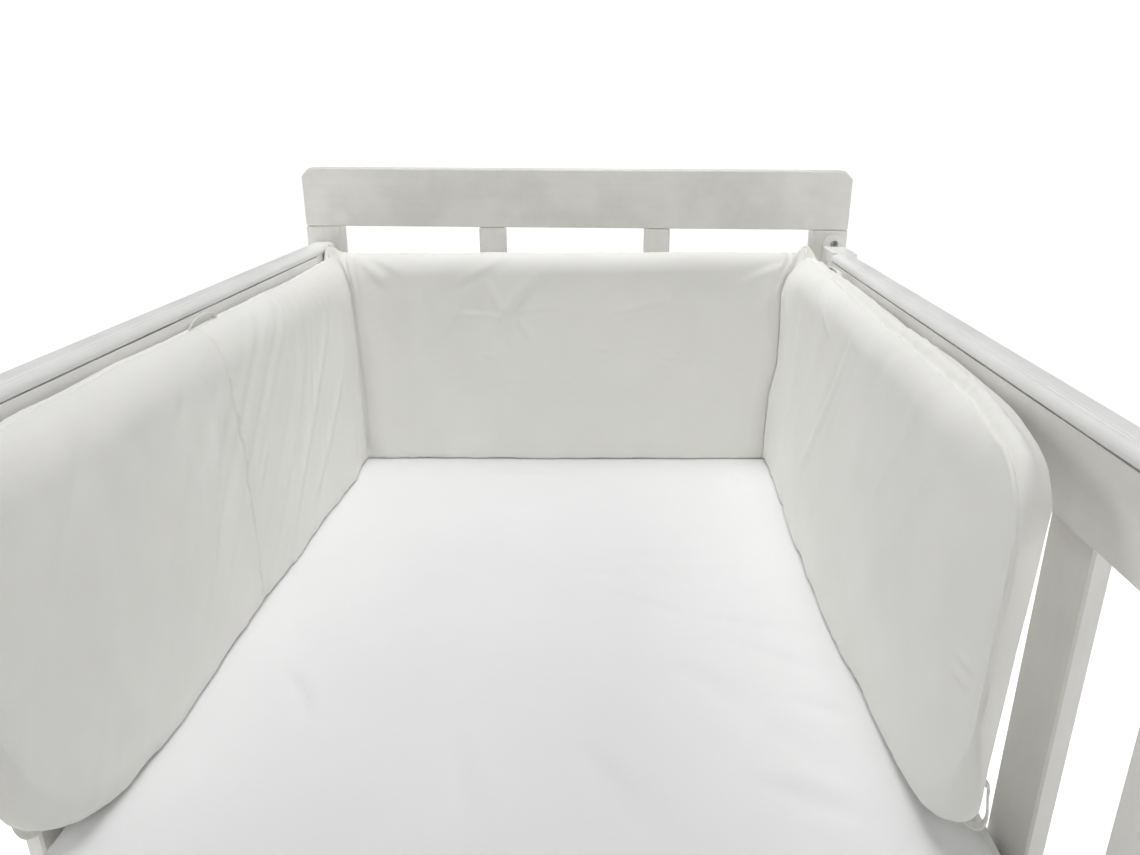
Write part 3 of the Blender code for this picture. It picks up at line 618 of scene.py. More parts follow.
def back_inset(row, height):
    """How far in the back face stands at a height."""
    share = np.clip(height / (row.crest - BACK_ROUND), 0.0, 1.0)
    return mix(row.foot - row.thick, row.back, share)


def quarter_turn(steps, start, finer=1.0):
    """Cosines and sines along a quarter turn, both ends left out, finer toward its start."""
    turns = start + pi / 2 * (np.linspace(0, 1, steps + 1)[1:-1]) ** finer
    return np.cos(turns), np.sin(turns)


def ring_of(row, lift=0.0, drop=0.0, fullness=1.0, curled=0.0):
    """One closed section as arrays of insets and heights: up the front and down the back."""
    foot, crest = LIFT_OFF + lift, row.crest - drop
    rise, curl = mix(FOOT_ROUND, END_FOOT_ROUND, curled), mix(FOOT_CURL, END_CURL, curled)
    face_foot, face_top = foot + rise, crest - row.turn
    front_low, back_low = front_inset(row, face_foot), back_inset(row, face_foot)
    reach, back_reach = front_inset(row, face_top) - row.seam, row.seam - back_inset(row, crest)
    back_round = min(BACK_ROUND, row.turn)
    under = min(FOOT_ROUND, (front_low - curl - back_low) * UNDER_SHARE)
    face = np.linspace(face_foot, face_top, FACE_STEPS + 1)
    back = np.linspace(crest - back_round, face_foot, BACK_STEPS + 1)
    foot_c, foot_s = quarter_turn(FOOT_STEPS, -pi / 2)
    top_s, top_c = (part[::-1] for part in quarter_turn(SHOULDER_STEPS, 0.0, SHOULDER_FINER))
    back_c, back_s = quarter_turn(BACK_ROUND_STEPS, pi / 2, BACK_FINER)
    under_c, under_s = quarter_turn(UNDER_STEPS, pi)
    out, up = reach * top_c ** SHOULDER_OUT_POWER, row.turn * top_s ** SHOULDER_UP_POWER
    inset = np.concatenate([
        [front_low - curl], front_low - curl * (1 - foot_c), front_inset(row, face),
        row.seam + out, [row.seam], row.seam + back_reach * back_c, back_inset(row, back),
        back_low + under * (1 + under_c), [back_low + under],
    ])
    height = np.concatenate([
        [foot], foot + rise * (1 + foot_s), face, face_top + up, [crest],
        crest - back_round * (1 - back_s), back, foot + rise * (1 + under_s), [foot],
    ])
    share = mix(END_SEAM_LOW_SHARE, END_SEAM_SHARE, np.clip((height - foot) / rise, 0.0, 1.0))
    ridge = mix(front_inset(row, height), back_inset(row, height), share)
    return mix(ridge, inset, fullness), height


FACE_COLUMN = FOOT_STEPS
FACE_TOP_COLUMN = FACE_COLUMN + FACE_STEPS
CREST_COLUMN = FACE_TOP_COLUMN + SHOULDER_STEPS


def corner_drop(short, radius):
    """How much a rounded corner takes off at a distance short of the end."""
    if short >= radius:
        return 0.0
    return radius - sqrt(radius * radius - (radius - short) ** 2)


def placed(x, y, height):
    return together(x, y, SLEEP_TOP + height)


def crease_wander(sign, height):
    return np.interp(height, *CREASE_WANDER[sign])


def crease_at(sign, side_row, height):
    """The x of a corner's crease at a height."""
    line = RAIL - front_inset(side_row, height) - CREASE_ROUND + crease_wander(sign, height)
    return sign * line


def side_rows(panel, sign, head_row):
    """A side panel's rows from its free end to the corner, and how far each is from head."""
    crease = front_inset(head_row, 0.0) + CREASE_ROUND
    end = panel[-1].along
    turns = np.radians(END_TURNS)
    stations = [(end - END_ROUND * (1 - cos(turn)), sin(turn)) for turn in turns]
    close = [(crease, 0.012)]
    if sign < 0:
        close.append((PANEL_SEAM, 0.009))
    stations += [(at, 1.0) for at in spread(end - END_ROUND, crease, ALONG_STEP, CLOSE_STEP, close)]
    rows = []
    for along, fullness in stations:
        row = section_at(panel, along)
        if sign > 0:
            row = row._replace(seam=row.seam + float(np.interp(along, *SEAM_FORWARD)))
        short = end - along
        lift, drop = corner_drop(short, LOW_CORNER), corner_drop(short, HIGH_CORNER)
        curled = smooth_step(1 - short / END_CURL_REACH)
        inset, height = ring_of(row, lift, drop, fullness, curled)
        near_corner = smooth_step(1 - (along - crease) / CORNER_BLEND)
        slide = (front_inset(head_row, height) + CREASE_ROUND - crease) * near_corner
        if sign < 0:
            near_seam = hump(along - PANEL_SEAM, PANEL_SEAM_REACH)
            slide = slide + near_seam * np.interp(height, *PANEL_SEAM_BOW)
        front, back = front_inset(row, height), back_inset(row, height)
        depth = np.clip((inset - back) / np.maximum(front - back, THINNEST), 0.0, 1.0)
        out = crease_wander(sign, height) * near_corner * depth
        rows.append(placed(sign * (RAIL - inset + out), HEAD - along - slide, height))
    return rows, [along for along, fullness in stations]


def head_rows():
    """The head panel's rows from the right corner to the left one, and the x of each."""
    corners = [(1, RIGHT_PANEL[0]), (-1, LEFT_PANEL[0])]
    start, end = (crease_at(sign, row, 0.0) for sign, row in corners)
    places = spread(start, end, ALONG_STEP, CLOSE_STEP, [(start, 0.010), (end, 0.010)])
    rows = []
    for x in places:
        inset, height = ring_of(section_at(HEAD_PANEL, x))
        slide = 0.0
        for (sign, row), line in zip(corners, (start, end)):
            near = smooth_step(1 - abs(line - x) / CORNER_BLEND)
            slide = slide + (crease_at(sign, row, height) - line) * near
        rows.append(placed(x + slide, HEAD - inset, height))
    return rows, list(places)


def corner_rows(sign, side_row, head_row, ear):
    """Rows fanned round a corner, from the side panel to the head panel."""
    side_inset, side_height = ring_of(side_row)
    head_inset, head_height = ring_of(head_row)
    side_front = front_inset(side_row, side_height)
    side_behind, side_deep = side_front - side_inset, side_front - back_inset(side_row, side_height)
    head_behind = front_inset(head_row, head_height) - head_inset
    deepest = max(side_row.thick, head_row.thick)
    rows = []
    for step in range(1, CORNER_STEPS):
        way = step / CORNER_STEPS
        turn, share, middle = pi / 2 * way, smooth_step(way), sin(pi * way)
        height = mix(side_height, head_height, share)
        behind = mix(side_behind, head_behind, share)
        behind = behind * (1 - crease_wander(sign, height) / side_deep * cos(turn))
        depth = behind / deepest
        behind = behind + CORNER_BULGE * middle * depth
        ear_share = smooth_step((height / side_row.crest - 1 + EAR_SHARE) / EAR_SHARE)
        ear_share = ear_share * middle ** EAR_POINT
        out = CREASE_ROUND + mix(behind, behind[CREST_COLUMN], EAR_PRESS * ear_share)
        height = height + ear * ear_share * smooth_step(depth * 2.5)
        across = crease_at(sign, side_row, height) + sign * cos(turn) * out
        from_head = front_inset(head_row, height) + CREASE_ROUND - sin(turn) * out
        rows.append(placed(across, HEAD - from_head, height))
    return rows


# The bumper as a grid of points: run is the distance along the strip at half height, up the
# distance round each section from the front of its foot, panel and place say where a row is.
Strip = namedtuple("Strip", "points run up panel place creases")
RIGHT, RIGHT_CORNER, ACROSS_HEAD, LEFT_CORNER, LEFT = range(5)


def bumper_strip():
    """The whole bumper as one grid, from the right free end round to the left one."""
    head_left, head_right = HEAD_PANEL[0], HEAD_PANEL[-1]
    right, right_at = side_rows(RIGHT_PANEL, 1, head_right)
    right_corner = corner_rows(1, RIGHT_PANEL[0], head_right, RIGHT_EAR)
    head, head_at = head_rows()
    left_corner = corner_rows(-1, LEFT_PANEL[0], head_left, LEFT_EAR)[::-1]
    left, left_at = side_rows(LEFT_PANEL, -1, head_left)
    parts = [right, right_corner, head, left_corner, left[::-1]]
    panel = np.concatenate([[code] * len(rows) for code, rows in enumerate(parts)])
    corner_gap = [0.0] * (CORNER_STEPS - 1)
    place = np.array(right_at + corner_gap + head_at + corner_gap + left_at[::-1])
    points = np.concatenate([np.array(rows) for rows in parts])
    middle = points[:, FACE_COLUMN + FACE_STEPS // 2]
    run, up = run_along(middle), run_along(points)
    creases = [run[panel == code].mean() for code in (RIGHT_CORNER, LEFT_CORNER)]
    return Strip(points, run, up, panel, place, creases)


# Creases of the front: a soft ridge, or a trough where rise is negative, with a shallow trough on
# its head side. A place is from head on a side panel and x on the head panel, a level is the
# distance up the front of the cloth, and bow is how far the middle of a crease stands aside.
Crease = namedtuple("Crease", "place level to_place to_level width rise bow")
CREASES = {
    LEFT: in_metres(
        Crease,
        (150, 215, 365, 30, 8, 2.1, 4), (118, 150, 300, 30, 7.5, 1.6, 5),
        (225, 215, 322, 95, 8.5, 0.9, 0), (368, 140, 416, 96, 4.5, 1, 0),
        (462, 222, 528, 60, 9.5, 2.8, 10), (437, 190, 492, 80, 11, -1.7, 4),
        (500, 190, 512, 120, 5, 1.3, 0), (545, 235, 600, 50, 17, -1.6, 0),
        (640, 220, 660, 40, 18, 1.8, 0), (196, 266, 172, 226, 4.2, 1.2, 0),
        (172, 264, 154, 222, 4, 1.2, 2), (146, 262, 132, 224, 3.6, 1, 0),
        (124, 262, 112, 214, 4, 1.2, 2), (104, 262, 92, 200, 4, 0.9, 0),
    ),
    ACROSS_HEAD: in_metres(
        Crease,
        (-92, 188, -44, 246, 6, 1.9, 0), (-76, 178, -55, 226, 5, -1.2, 0),
        (-82, 190, -150, 194, 2.6, 0.8, 2), (-70, 197, -12, 206, 2.8, 0.8, 0),
        (-80, 190, -93, 150, 5.5, -1.2, 0), (-108, 238, -88, 196, 5, 1.2, 0),
        (-70, 192, -50, 160, 5, 0.9, 0), (-192, 140, -122, 232, 8, 0.9, 0),
        (50, 196, 122, 215, 3, 0.8, 0), (-195, 252, -208, 80, 12, 1.1, 3),
        (-252, 268, -225, 226, 5, 1.3, 0), (-240, 270, -205, 240, 4.5, 0.9, 0),
        (-155, 228, -78, 270, 5, 0.9, 0), (246, 262, 205, 232, 5, 1.1, 0),
        (250, 236, 222, 190, 5, 0.9, 0), (-116, 141, -94, 140, 2.4, 0.7, 0),
        (-20, 109, 2, 107, 2.4, 0.7, 0), (26, 151, 48, 150, 2.2, 0.6, 0),
        (110, 141, 132, 139, 2.4, 0.6, 0), (-84, 108, -62, 108, 2.2, 0.6, 0),
        (12, 104, 32, 108, 2.2, 0.6, 0),
    ),
    RIGHT: in_metres(
        Crease,
        (66, 266, 52, 150, 5.2, 2, -30), (92, 276, 118, 205, 5.5, 1.4, -8),
        (198, 262, 176, 50, 7, 2.1, -6), (148, 262, 136, 50, 12, -1.6, 0),
        (262, 252, 316, 234, 4, 1.1, 0), (392, 262, 272, 86, 6.5, 2.2, -12),
        (205, 145, 292, 22, 7, 1.4, 8), (150, 120, 262, 18, 8, 1, 0),
        (112, 282, 136, 246, 3.8, 1.3, 0), (150, 282, 182, 252, 4, 1.4, 0),
        (206, 283, 238, 254, 4.2, 1.3, 0), (256, 283, 276, 258, 4.2, 1, 0),
        (300, 283, 312, 256, 4, 1.1, 0), (470, 260, 500, 60, 20, -1.4, 0),
        (686, 146, 714, 150, 2.8, 0.8, 0), (680, 132, 710, 138, 2.8, 0.7, 0),
    ),
}
CREASE_TAPER = 0.8
SIDE_TROUGH = 0.45
CREASE_STRENGTH = 1.3


def crease_shape(crease, along, level):
    """A crease's relief at places of the cloth."""
    run, climb = crease.to_place - crease.place, crease.to_level - crease.level
    length = hypot(run, climb)
    along, level = along - crease.place, level - crease.level
    way = np.clip((along * run + level * climb) / length ** 2, 0.0, 1.0)
    aside = (along * climb - level * run) / length - crease.bow * 4 * way * (1 - way)
    width = crease.width * (0.75 + 0.5 * way)
    shape = hump(aside, width) - SIDE_TROUGH * hump(aside - 1.7 * width, 1.1 * width)
    return crease.rise * shape * (4 * way * (1 - way)) ** CREASE_TAPER


def crease_relief(strip, level):
    total = np.zeros(level.shape)
    for panel, creases in CREASES.items():
        rows = np.flatnonzero(strip.panel == panel)
        front = level[rows, :CREST_COLUMN]
        for crease in creases:
            shape = crease_shape(crease, strip.place[rows][:, None], front)
            total[rows, :CREST_COLUMN] += CREASE_STRENGTH * shape
    return total


# A stitched seam: a trough, and the turned-in cloth as a low ridge aside of it
Seam = namedtuple("Seam", "deep width ridge aside ridge_width")
TOP_SEAM = Seam(0.0028, 0.0017, 0.0006, -0.0036, 0.0020)
CROSS_SEAM = Seam(0.0011, 0.0011, 0.0004, 0.0030, 0.0016)


def seam_relief(seam, across):
    ridge = seam.ridge * hump(across - seam.aside, seam.ridge_width)
    return ridge - seam.deep * hump(across, seam.width)


# Gathers along a seam: short random ridges that run away from it to one side
Gather = namedtuple("Gather", "place side reach rise breadth slant")


def gathers(seed, length, spacing, reach, rise, breadth=0.0022):
    random = np.random.default_rng(seed)
    made, place = [], 0.0
    while place < length:
        place += spacing * random.uniform(0.55, 1.6)
        made.append(Gather(
            place, random.choice([-1, 1]), reach * random.uniform(0.45, 1.3),
            rise * random.uniform(0.35, 1.2), breadth * random.uniform(0.8, 1.9),
            random.uniform(-0.35, 0.35),
        ))
    return made


def gather_relief(along, across, ridges):
    """Relief of gathers: along is a place on the seam, across the distance from it."""
    total = np.zeros(along.shape)
    for ridge in ridges:
        away = across * ridge.side
        near = (np.abs(along - ridge.place) < 6 * ridge.breadth) & (away > 0) & (away < ridge.reach)
        if not near.any():
            continue
        share = away[near] / ridge.reach
        breadth = ridge.breadth * (1 + 1.2 * share)
        aside = (along[near] - ridge.place - ridge.slant * away[near]) / breadth
        shape = hump(aside, 1.0) - 0.55 * hump(aside - 1.5, 1.0)
        total[near] += ridge.rise * shape * (1 - share) ** 1.5 * smooth_step(share * 9)
    return total


# How far the fine drags lean, and how strong they are, by the distance along the strip
DRAG_LEAN = ((0.0, 0.50, 0.70, 1.23, 1.45, 1.70, 1.95), (0.6, 0.4, 0.1, 0.15, 1.0, 0.8, 0.5))
DRAG_STRENGTH = (
    (0.0, 0.25, 0.45, 0.66, 0.72, 0.80, 1.15, 1.22, 1.32, 1.60, 1.95),
    (0.0003, 0.0004, 0.0007, 0.0011, 0.0005, 0.0002, 0.0003, 0.0004, 0.0005, 0.0008, 0.0009),
)
QUIET_END = 0.02
FOOT_WAVE = 0.0012


def body_relief(run, level, front):
    """Long drags, crumples and small unevenness all over the cloth."""
    lean, strength = np.interp(run, *DRAG_LEAN), np.interp(run, *DRAG_STRENGTH)
    streak = soft_noise((run + lean * level) / 0.013, level / 0.170 + run / 0.4, 13)
    warp = 0.02 * soft_noise(run / 0.11, level / 0.09, 3)
    drag = soft_noise((run + warp) / 0.055, level / 0.130, 5)
    crumple = soft_noise((run - 0.3 * level + warp) / 0.022, level / 0.045, 7)
    fine = soft_noise((run + 0.5 * level) / 0.011, (level - 0.2 * run) / 0.019, 11)
    near = front * (0.0007 * drag + 0.00030 * crumple + 0.00011 * fine + strength * streak)
    return near + (1 - front) * (0.0009 * drag + 0.0003 * crumple)


# The top edge, by the distance along the strip: how far the cloth behind the seam puffs up and
# how far behind the seam, both in millimetres, and how strongly it is gathered before and behind it
TOP_EDGE = (
    (0.0, 0.05, 0.12, 0.30, 0.50, 0.64, 0.72, 1.20, 1.26, 1.40, 1.52, 1.66, 1.95),
    (1, 3.6, 5, 5, 4.2, 2.4, 0, 0, 3.4, 1.4, 2, 3.4, 3.4),
    (8, 8, 8, 8, 7.5, 6.5, 6, 6, 5, 4.2, 4.5, 4.5, 4.5),
    (0.5, 0.6, 0.8, 0.9, 0.9, 0.9, 0.5, 0.5, 0.7, 0.5, 0.25, 0.3, 0.3),
    (0.8, 2.0, 2.4, 2.1, 1.5, 1.2, 0.3, 0.3, 0.5, 0.3, 0.3, 0.3, 0.3),
)


def top_relief(run, from_top):
    """The seam along the top with its gathers, and the cloth puffed up behind it."""
    places, *tables = TOP_EDGE
    puff, back, before, behind = (np.interp(run, places, table) for table in tables)
    wander = from_top + 0.0006 * soft_noise(run / 0.03, 0 * run, 17)
    behind_seam = puff / 1000 * hump(from_top - back / 1000, back / 1000 * 0.60)
    ridges = gathers(19, run.max(), spacing=0.0085, reach=0.019, rise=0.0012)
    gathered = np.where(from_top < 0, before, behind) * gather_relief(run, wander, ridges)
    return seam_relief(TOP_SEAM, wander) + behind_seam + gathered


def foot_relief(strip, run, level):
    """The lower edge: its small gathers and a wavy outline."""
    ridges = gathers(23, strip.run[-1], spacing=0.016, reach=0.024, rise=0.0008)
    total = gather_relief(run, level + 0.002, ridges) * (level > -0.002)
    side = np.where((strip.panel == ACROSS_HEAD)[:, None], 0.6, 1.0)
    wave = soft_noise(run / 0.023, 0 * run, 29) + 0.7 * soft_noise(run / 0.060, 0 * run, 31)
    return total + FOOT_WAVE * side * hump(level - 0.004, 0.010) * wave


def panel_seam_relief(strip, level):
    """The seam that joins two lengths of cloth on the left panel, puckered on its head side."""
    total = np.zeros(level.shape)
    rows = np.flatnonzero((strip.panel == LEFT) & (np.abs(strip.place - PANEL_SEAM) < 0.03))
    across = np.broadcast_to((PANEL_SEAM - strip.place[rows])[:, None], level[rows].shape)
    front = np.arange(level.shape[1]) < CREST_COLUMN
    ridges = gathers(34, 0.30, spacing=0.0075, reach=0.014, rise=0.0012, breadth=0.0021)
    gathered = np.where(across > 0, 1.2, 0.5) * gather_relief(level[rows], across, ridges)
    total[rows] = (seam_relief(CROSS_SEAM, across) + gathered) * front
    return total


CORNER_DEEP = (0.0012, 0.0022)
CORNER_FULL = 0.0022
PLEAT_RISE = 0.0017
PLEAT_PITCH = 0.0090
PLEATS_FROM = 0.205


def corner_relief(strip, run, level, front):
    """Each corner's crease, the fullness beside it and the pleats of its ear."""
    total = np.zeros(level.shape)
    for crease, deep in zip(strip.creases, CORNER_DEEP):
        away = run - crease
        full = CORNER_FULL * hump(np.abs(away) - 0.018, 0.012)
        total += smooth_step(level / 0.02) * (full - deep * hump(away, 0.0032))
        pleat = np.cos((away + 0.06 * (level - 0.25)) * 2 * pi / PLEAT_PITCH) * hump(away, 0.018)
        total += PLEAT_RISE * pleat * smooth_step((level - PLEATS_FROM) / 0.05)
    return total * front


END_SEAM_RISE = 0.0008
END_SEAM_WIDTH = 0.0024


def end_relief(run, heights):
    """The seams down the free ends and their gathers."""
    total = np.zeros(run.shape)
    for end, seed in ((0.0, 37), (run.max(), 41)):
        from_end = np.abs(run - end)
        ridges = gathers(seed, 0.27, spacing=0.0115, reach=0.026, rise=0.0005, breadth=0.0030)
        total += END_SEAM_RISE * hump(from_end, END_SEAM_WIDTH)
        total += gather_relief(heights, from_end - 0.0040, ridges)
    return total


def add_bumper():
    strip = bumper_strip()
    heights = strip.points[:, :, 2] - SLEEP_TOP
    foot_arc = strip.up[len(heights) // 2, FACE_COLUMN] - FOOT_ROUND
    run = np.broadcast_to(strip.run[:, None], heights.shape)
    level = strip.up - foot_arc + heights[:, :1]
    from_top = strip.up - strip.up[:, CREST_COLUMN:CREST_COLUMN + 1]
    column = np.arange(heights.shape[1])
    front = smooth_step((CREST_COLUMN + 4 - column) / 8.0) * smooth_step((column + 2) / 6.0)
    from_end = np.minimum(run, run[-1] - run)
    quiet = 1 - 0.7 * smooth_step(1 - from_end / QUIET_END)
    relief = body_relief(run, level, front) + top_relief(run, from_top)
    relief = (relief + foot_relief(strip, run, level)) * quiet + crease_relief(strip, level)
    relief += panel_seam_relief(strip, level) + corner_relief(strip, run, level, front)
    relief += end_relief(run, heights)
    points = strip.points + normals_of(strip.points) * relief[..., None]
    points[:, :, 0] = np.clip(points[:, :, 0], -RAIL + BACK_PLAY, RAIL - BACK_PLAY)
    points[:, :, 1] = np.minimum(points[:, :, 1], HEAD - BACK_PLAY)
    points[:, :, 2] = np.maximum(points[:, :, 2], SLEEP_TOP + LIFT_OFF)
    bumper = add_tube("bumper_cloth", points, COTTON, together(run, strip.up))
    stands_for(bumper, "bumper")


# Fitted sheet and mattress

SHEET_THICK = 0.0012
SHEET_EDGE_ROUND = 0.011
SHEET_CORNER = 0.037
SHEET_TURN_UNDER = 0.035
SHEET_STEP = 0.0054
MATTRESS_EDGE_ROUND = 0.009
MATTRESS_CORNER = 0.034
MATTRESS_SLACK = 0.0012
PIPING = 0.0011
PIPING_DOWN = 0.0125
PIPING_WIDTH = 0.0016


def into_round_corner(across, along, half_x, half_y, corner):
    """Places of a rectangle drawn in so that its corners are round."""
    a = np.clip((np.abs(across) - half_x + corner) / corner, 0.0, 1.0)
    b = np.clip((np.abs(along) - half_y + corner) / corner, 0.0, 1.0)
    x = np.abs(across) - corner * a * (1 - np.sqrt(1 - b * b / 2))
    y = np.abs(along) - corner * b * (1 - np.sqrt(1 - a * a / 2))
    return np.sign(across) * x, np.sign(along) * y


def round_block(low, high, edge, corner, rings):
    """The upper skin of a block with round corners: points, four-cornered faces and its rim.

    The top is a grid with the sheet's relief, and rings is how the skin goes on below it: how
    far out of the top's rim and how far down each ring of points lies.
    """
    middle, half = (low + high) / 2, (high - low) / 2
    half_x, half_y, inner = half.x - edge, half.y - edge, corner - edge
    columns, rows = round(2 * half_x / SHEET_STEP), round(2 * half_y / SHEET_STEP)
    across = np.linspace(-half_x, half_x, columns + 1)
    along = np.linspace(-half_y, half_y, rows + 1)[:, None]
    x, y = into_round_corner(across, along, half_x, half_y, inner)
    rise = sheet_relief(x, y)
    top = together(x + middle.x, y + middle.y, high.z + rise).reshape(-1, 3)
    index = np.arange(len(top)).reshape(rows + 1, columns + 1)
    faces = [quads(index[:-1, :-1], index[:-1, 1:], index[1:, 1:], index[1:, :-1])]
    rim = np.concatenate([index[0, :-1], index[:-1, -1], index[-1, :0:-1], index[:0:-1, 0]])
    rim_at = together(x, y).reshape(-1, 2)[rim]
    limit = np.array([half_x - inner, half_y - inner])
    outward = (rim_at - np.clip(rim_at, -limit, limit)) / inner
    points, last = [top], rim
    for out, down in rings:
        fresh = np.arange(len(rim)) + sum(len(part) for part in points)
        points.append(top[rim] + np.column_stack([out * outward, -down - rise.ravel()[rim]]))
        faces.append(quads(last, fresh, np.roll(fresh, -1), np.roll(last, -1)))
        last = fresh
    return np.concatenate(points), np.concatenate(faces), last


def thickened(points, faces, rim, thick):
    """A skin given a thickness inward, with its rim closed."""
    corners = points[faces]
    facing = np.cross(corners[:, 2] - corners[:, 0], corners[:, 3] - corners[:, 1])
    normal = np.zeros_like(points)
    for corner in range(4):
        np.add.at(normal, faces[:, corner], facing)
    normal /= np.linalg.norm(normal, axis=1, keepdims=True)
    inner, count = points - thick * normal, len(points)
    closing = quads(rim, rim + count, np.roll(rim, -1) + count, np.roll(rim, -1))
    return np.concatenate([points, inner]), np.concatenate([faces, faces[:, ::-1] + count, closing])


# Faint creases of the sheet: a place is x and a level is the distance from head
SHEET_CREASES = in_metres(
    Crease,
    (-92, 223, 28, 218, 1.8, -0.5, 0), (196, 95, 226, 150, 4.5, -1.2, 4),
    (-236, 440, -130, 497, 3.6, 0.9, -8), (-222, 515, -173, 592, 5, -1.2, 6),
    (45, 388, 132, 436, 4.5, -0.8, 3), (125, 430, 245, 462, 6, -1, 4),
    (100, 500, 170, 575, 17, -1.8, 4), (160, 562, 236, 650, 17, -1.6, 0),
    (14, 353, 193, 382, 9, -0.7, 6), (24, 307, 176, 327, 8, -0.6, 0),
    (150, 636, 240, 672, 12, -1.8, 0), (27, 600, 85, 700, 13, -1.8, 4),
    (150, 466, 240, 522, 8, -1.4, 3), (190, 543, 243, 570, 7, -1.2, 0),
    (-64, 585, -36, 690, 9, -0.8, 0), (-150, 110, -10, 122, 10, 0.6, 3),
)
SHEET_CREASE_STRENGTH = 2.2
OPEN_HALF_WIDTH = 0.246
OPEN_FROM_HEAD = 0.070
OPEN_EDGE = 0.014


def sheet_relief(x, y):
    """Faint creases of the stretched sheet, none of them under the bumper."""
    from_head = HEAD - y
    warp = 0.05 * soft_noise(x / 0.2, y / 0.2, 41)
    wide = soft_noise((x + warp) / 0.12, (y + 0.4 * x) / 0.22, 43)
    narrow = soft_noise((x - 0.5 * y + warp) / 0.05, (y + 0.5 * x) / 0.11, 47)
    total = 0.0009 * wide + 0.00045 * narrow - 0.0006
    for crease in SHEET_CREASES:
        total += SHEET_CREASE_STRENGTH * crease_shape(crease, x, from_head)
    room = np.minimum(OPEN_HALF_WIDTH - np.abs(x), from_head - OPEN_FROM_HEAD)
    return total * smooth_step(room / OPEN_EDGE)


def add_sheet():
    """The fitted sheet as one thin closed skin: top, sides and hem turned under."""
    low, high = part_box("fitted_sheet")
    drop = high.z - low.z
    edge, turns = SHEET_EDGE_ROUND, np.linspace(0, pi / 2, 6)[1:]
    rings = [(edge * sin(turn), edge * (1 - cos(turn))) for turn in turns]
    rings += [(edge, down) for down in np.linspace(edge, drop - edge, 8)[1:]]
    rings += [(edge * cos(turn), drop - edge * (1 - sin(turn))) for turn in turns]
    rings += [(-back, drop) for back in np.linspace(0, SHEET_TURN_UNDER - edge, 5)[1:]]
    skin = round_block(low, high, edge, SHEET_CORNER, rings)
    points, faces = thickened(*skin, SHEET_THICK)
    cloth = points[:, :2] * (1 + (high.z - points[:, 2:]) * 2)
    sheet = add_mesh("sheet_cloth", points, faces.tolist(), SHEET_COTTON, cloth)
    stands_for(sheet, "fitted_sheet")


def add_mattress():
    """The mattress under the sheet: a soft block with a piped edge above and below."""
    low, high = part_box("mattress")
    drop = (high.z - low.z) / 2
    edge = MATTRESS_EDGE_ROUND
    rings = [(edge * sin(turn), edge * (1 - cos(turn))) for turn in np.linspace(0, pi / 2, 5)[1:]]
    for down in np.linspace(edge, drop, 14)[1:]:
        slack = MATTRESS_SLACK * smooth_step((down - 0.014) / 0.01)
        cord = PIPING * hump(down - PIPING_DOWN, PIPING_WIDTH)
        rings.append((edge - PIPING - slack + cord, down))
    upper, faces, rim = round_block(low, high, edge, MATTRESS_CORNER, rings)
    lower = upper[:rim[0]] * (1, 1, -1) + (0, 0, low.z + high.z)
    below = np.where(faces < rim[0], faces + len(upper), faces)
    faces = np.concatenate([faces, below[:, ::-1]]).tolist()
    points = np.concatenate([upper, lower])
    cloth = points[:, :2] + points[:, 2:]
    mattress = add_mesh("mattress_block", points, faces, TICKING, cloth)
    stands_for(mattress, "mattress")


# Tape loops

TAPE_WIDTH = 0.0052
TAPE_THICK = 0.0018
TAPE_MIDDLE = 0.78
TAPE_SQUARE = 0.45
TAPE_STEPS = 48
TAPE_EDGE_STEPS = 4
LOOP_POWER = 0.7
LOOP_SINK = 0.0030
TopLoop = namedtuple("TopLoop", "sign nearest length tall inset across")
TOP_LOOPS = {
    "tie_loop_right_top": TopLoop(1, 0.128, 0.052, 0.0062, 0.0150, (1, 0, -0.3)),
    "tie_loop_left_top": TopLoop(-1, 0.374, 0.048, 0.0060, 0.0075, (0.6, 0, 0.8)),
}
# The bends of a low loop
Bend = namedtuple("Bend", "from_head inset height")
LOW_LOOP_RIGHT = in_metres(
    Bend,
    (682, 37, 22.5), (687, 34.5, 19), (691, 31, 18), (694, 28, 20.5), (696, 26.5, 27.5),
    (698, 27.5, 36), (701, 30, 45), (705, 33, 55), (709, 35.5, 64), (712, 39.5, 70),
)
LOW_LOOPS = {"tie_loop_right_low": (1, RIGHT_PANEL), "tie_loop_left_low": (-1, LEFT_PANEL)}
LOW_LOOP_ACROSS = (0.3, 1, 0.25)


def smooth_route(bends):
    """Points along a smooth curve through the bends."""
    padded = np.array([bends[0], *bends, bends[-1]])
    way = np.linspace(0, len(bends) - 1, TAPE_STEPS + 1)
    index = np.minimum(way.astype(int), len(bends) - 2)
    return curve(*(padded[index + i] for i in range(4)), (way - index)[:, None])


def add_tape(node, route, across):
    """A woven tape bent along a route, with thicker selvedges; across is the way of its width."""
    along = np.gradient(route, axis=0)
    along /= np.linalg.norm(along, axis=1, keepdims=True)
    wide = np.array(across) / np.linalg.norm(across)
    wide = wide - along * (along @ wide)[:, None]
    wide /= np.linalg.norm(wide, axis=1, keepdims=True)
    out = np.cross(along, wide)
    turns = np.linspace(0, 2 * pi, 4 * TAPE_EDGE_STEPS, endpoint=False)
    sideways = np.sign(np.cos(turns)) * np.abs(np.cos(turns)) ** TAPE_SQUARE
    upward = np.sin(turns) * mix(TAPE_MIDDLE, 1.0, np.abs(sideways) ** 3)
    aside, above = sideways * TAPE_WIDTH / 2, upward * TAPE_THICK / 2
    points = route[:, None] + wide[:, None] * aside[:, None] + out[:, None] * above[:, None]
    cloth = together(run_along(route)[:, None], aside)
    stands_for(add_tube(f"{node}_tape", points, TAPE_COTTON, cloth), node)


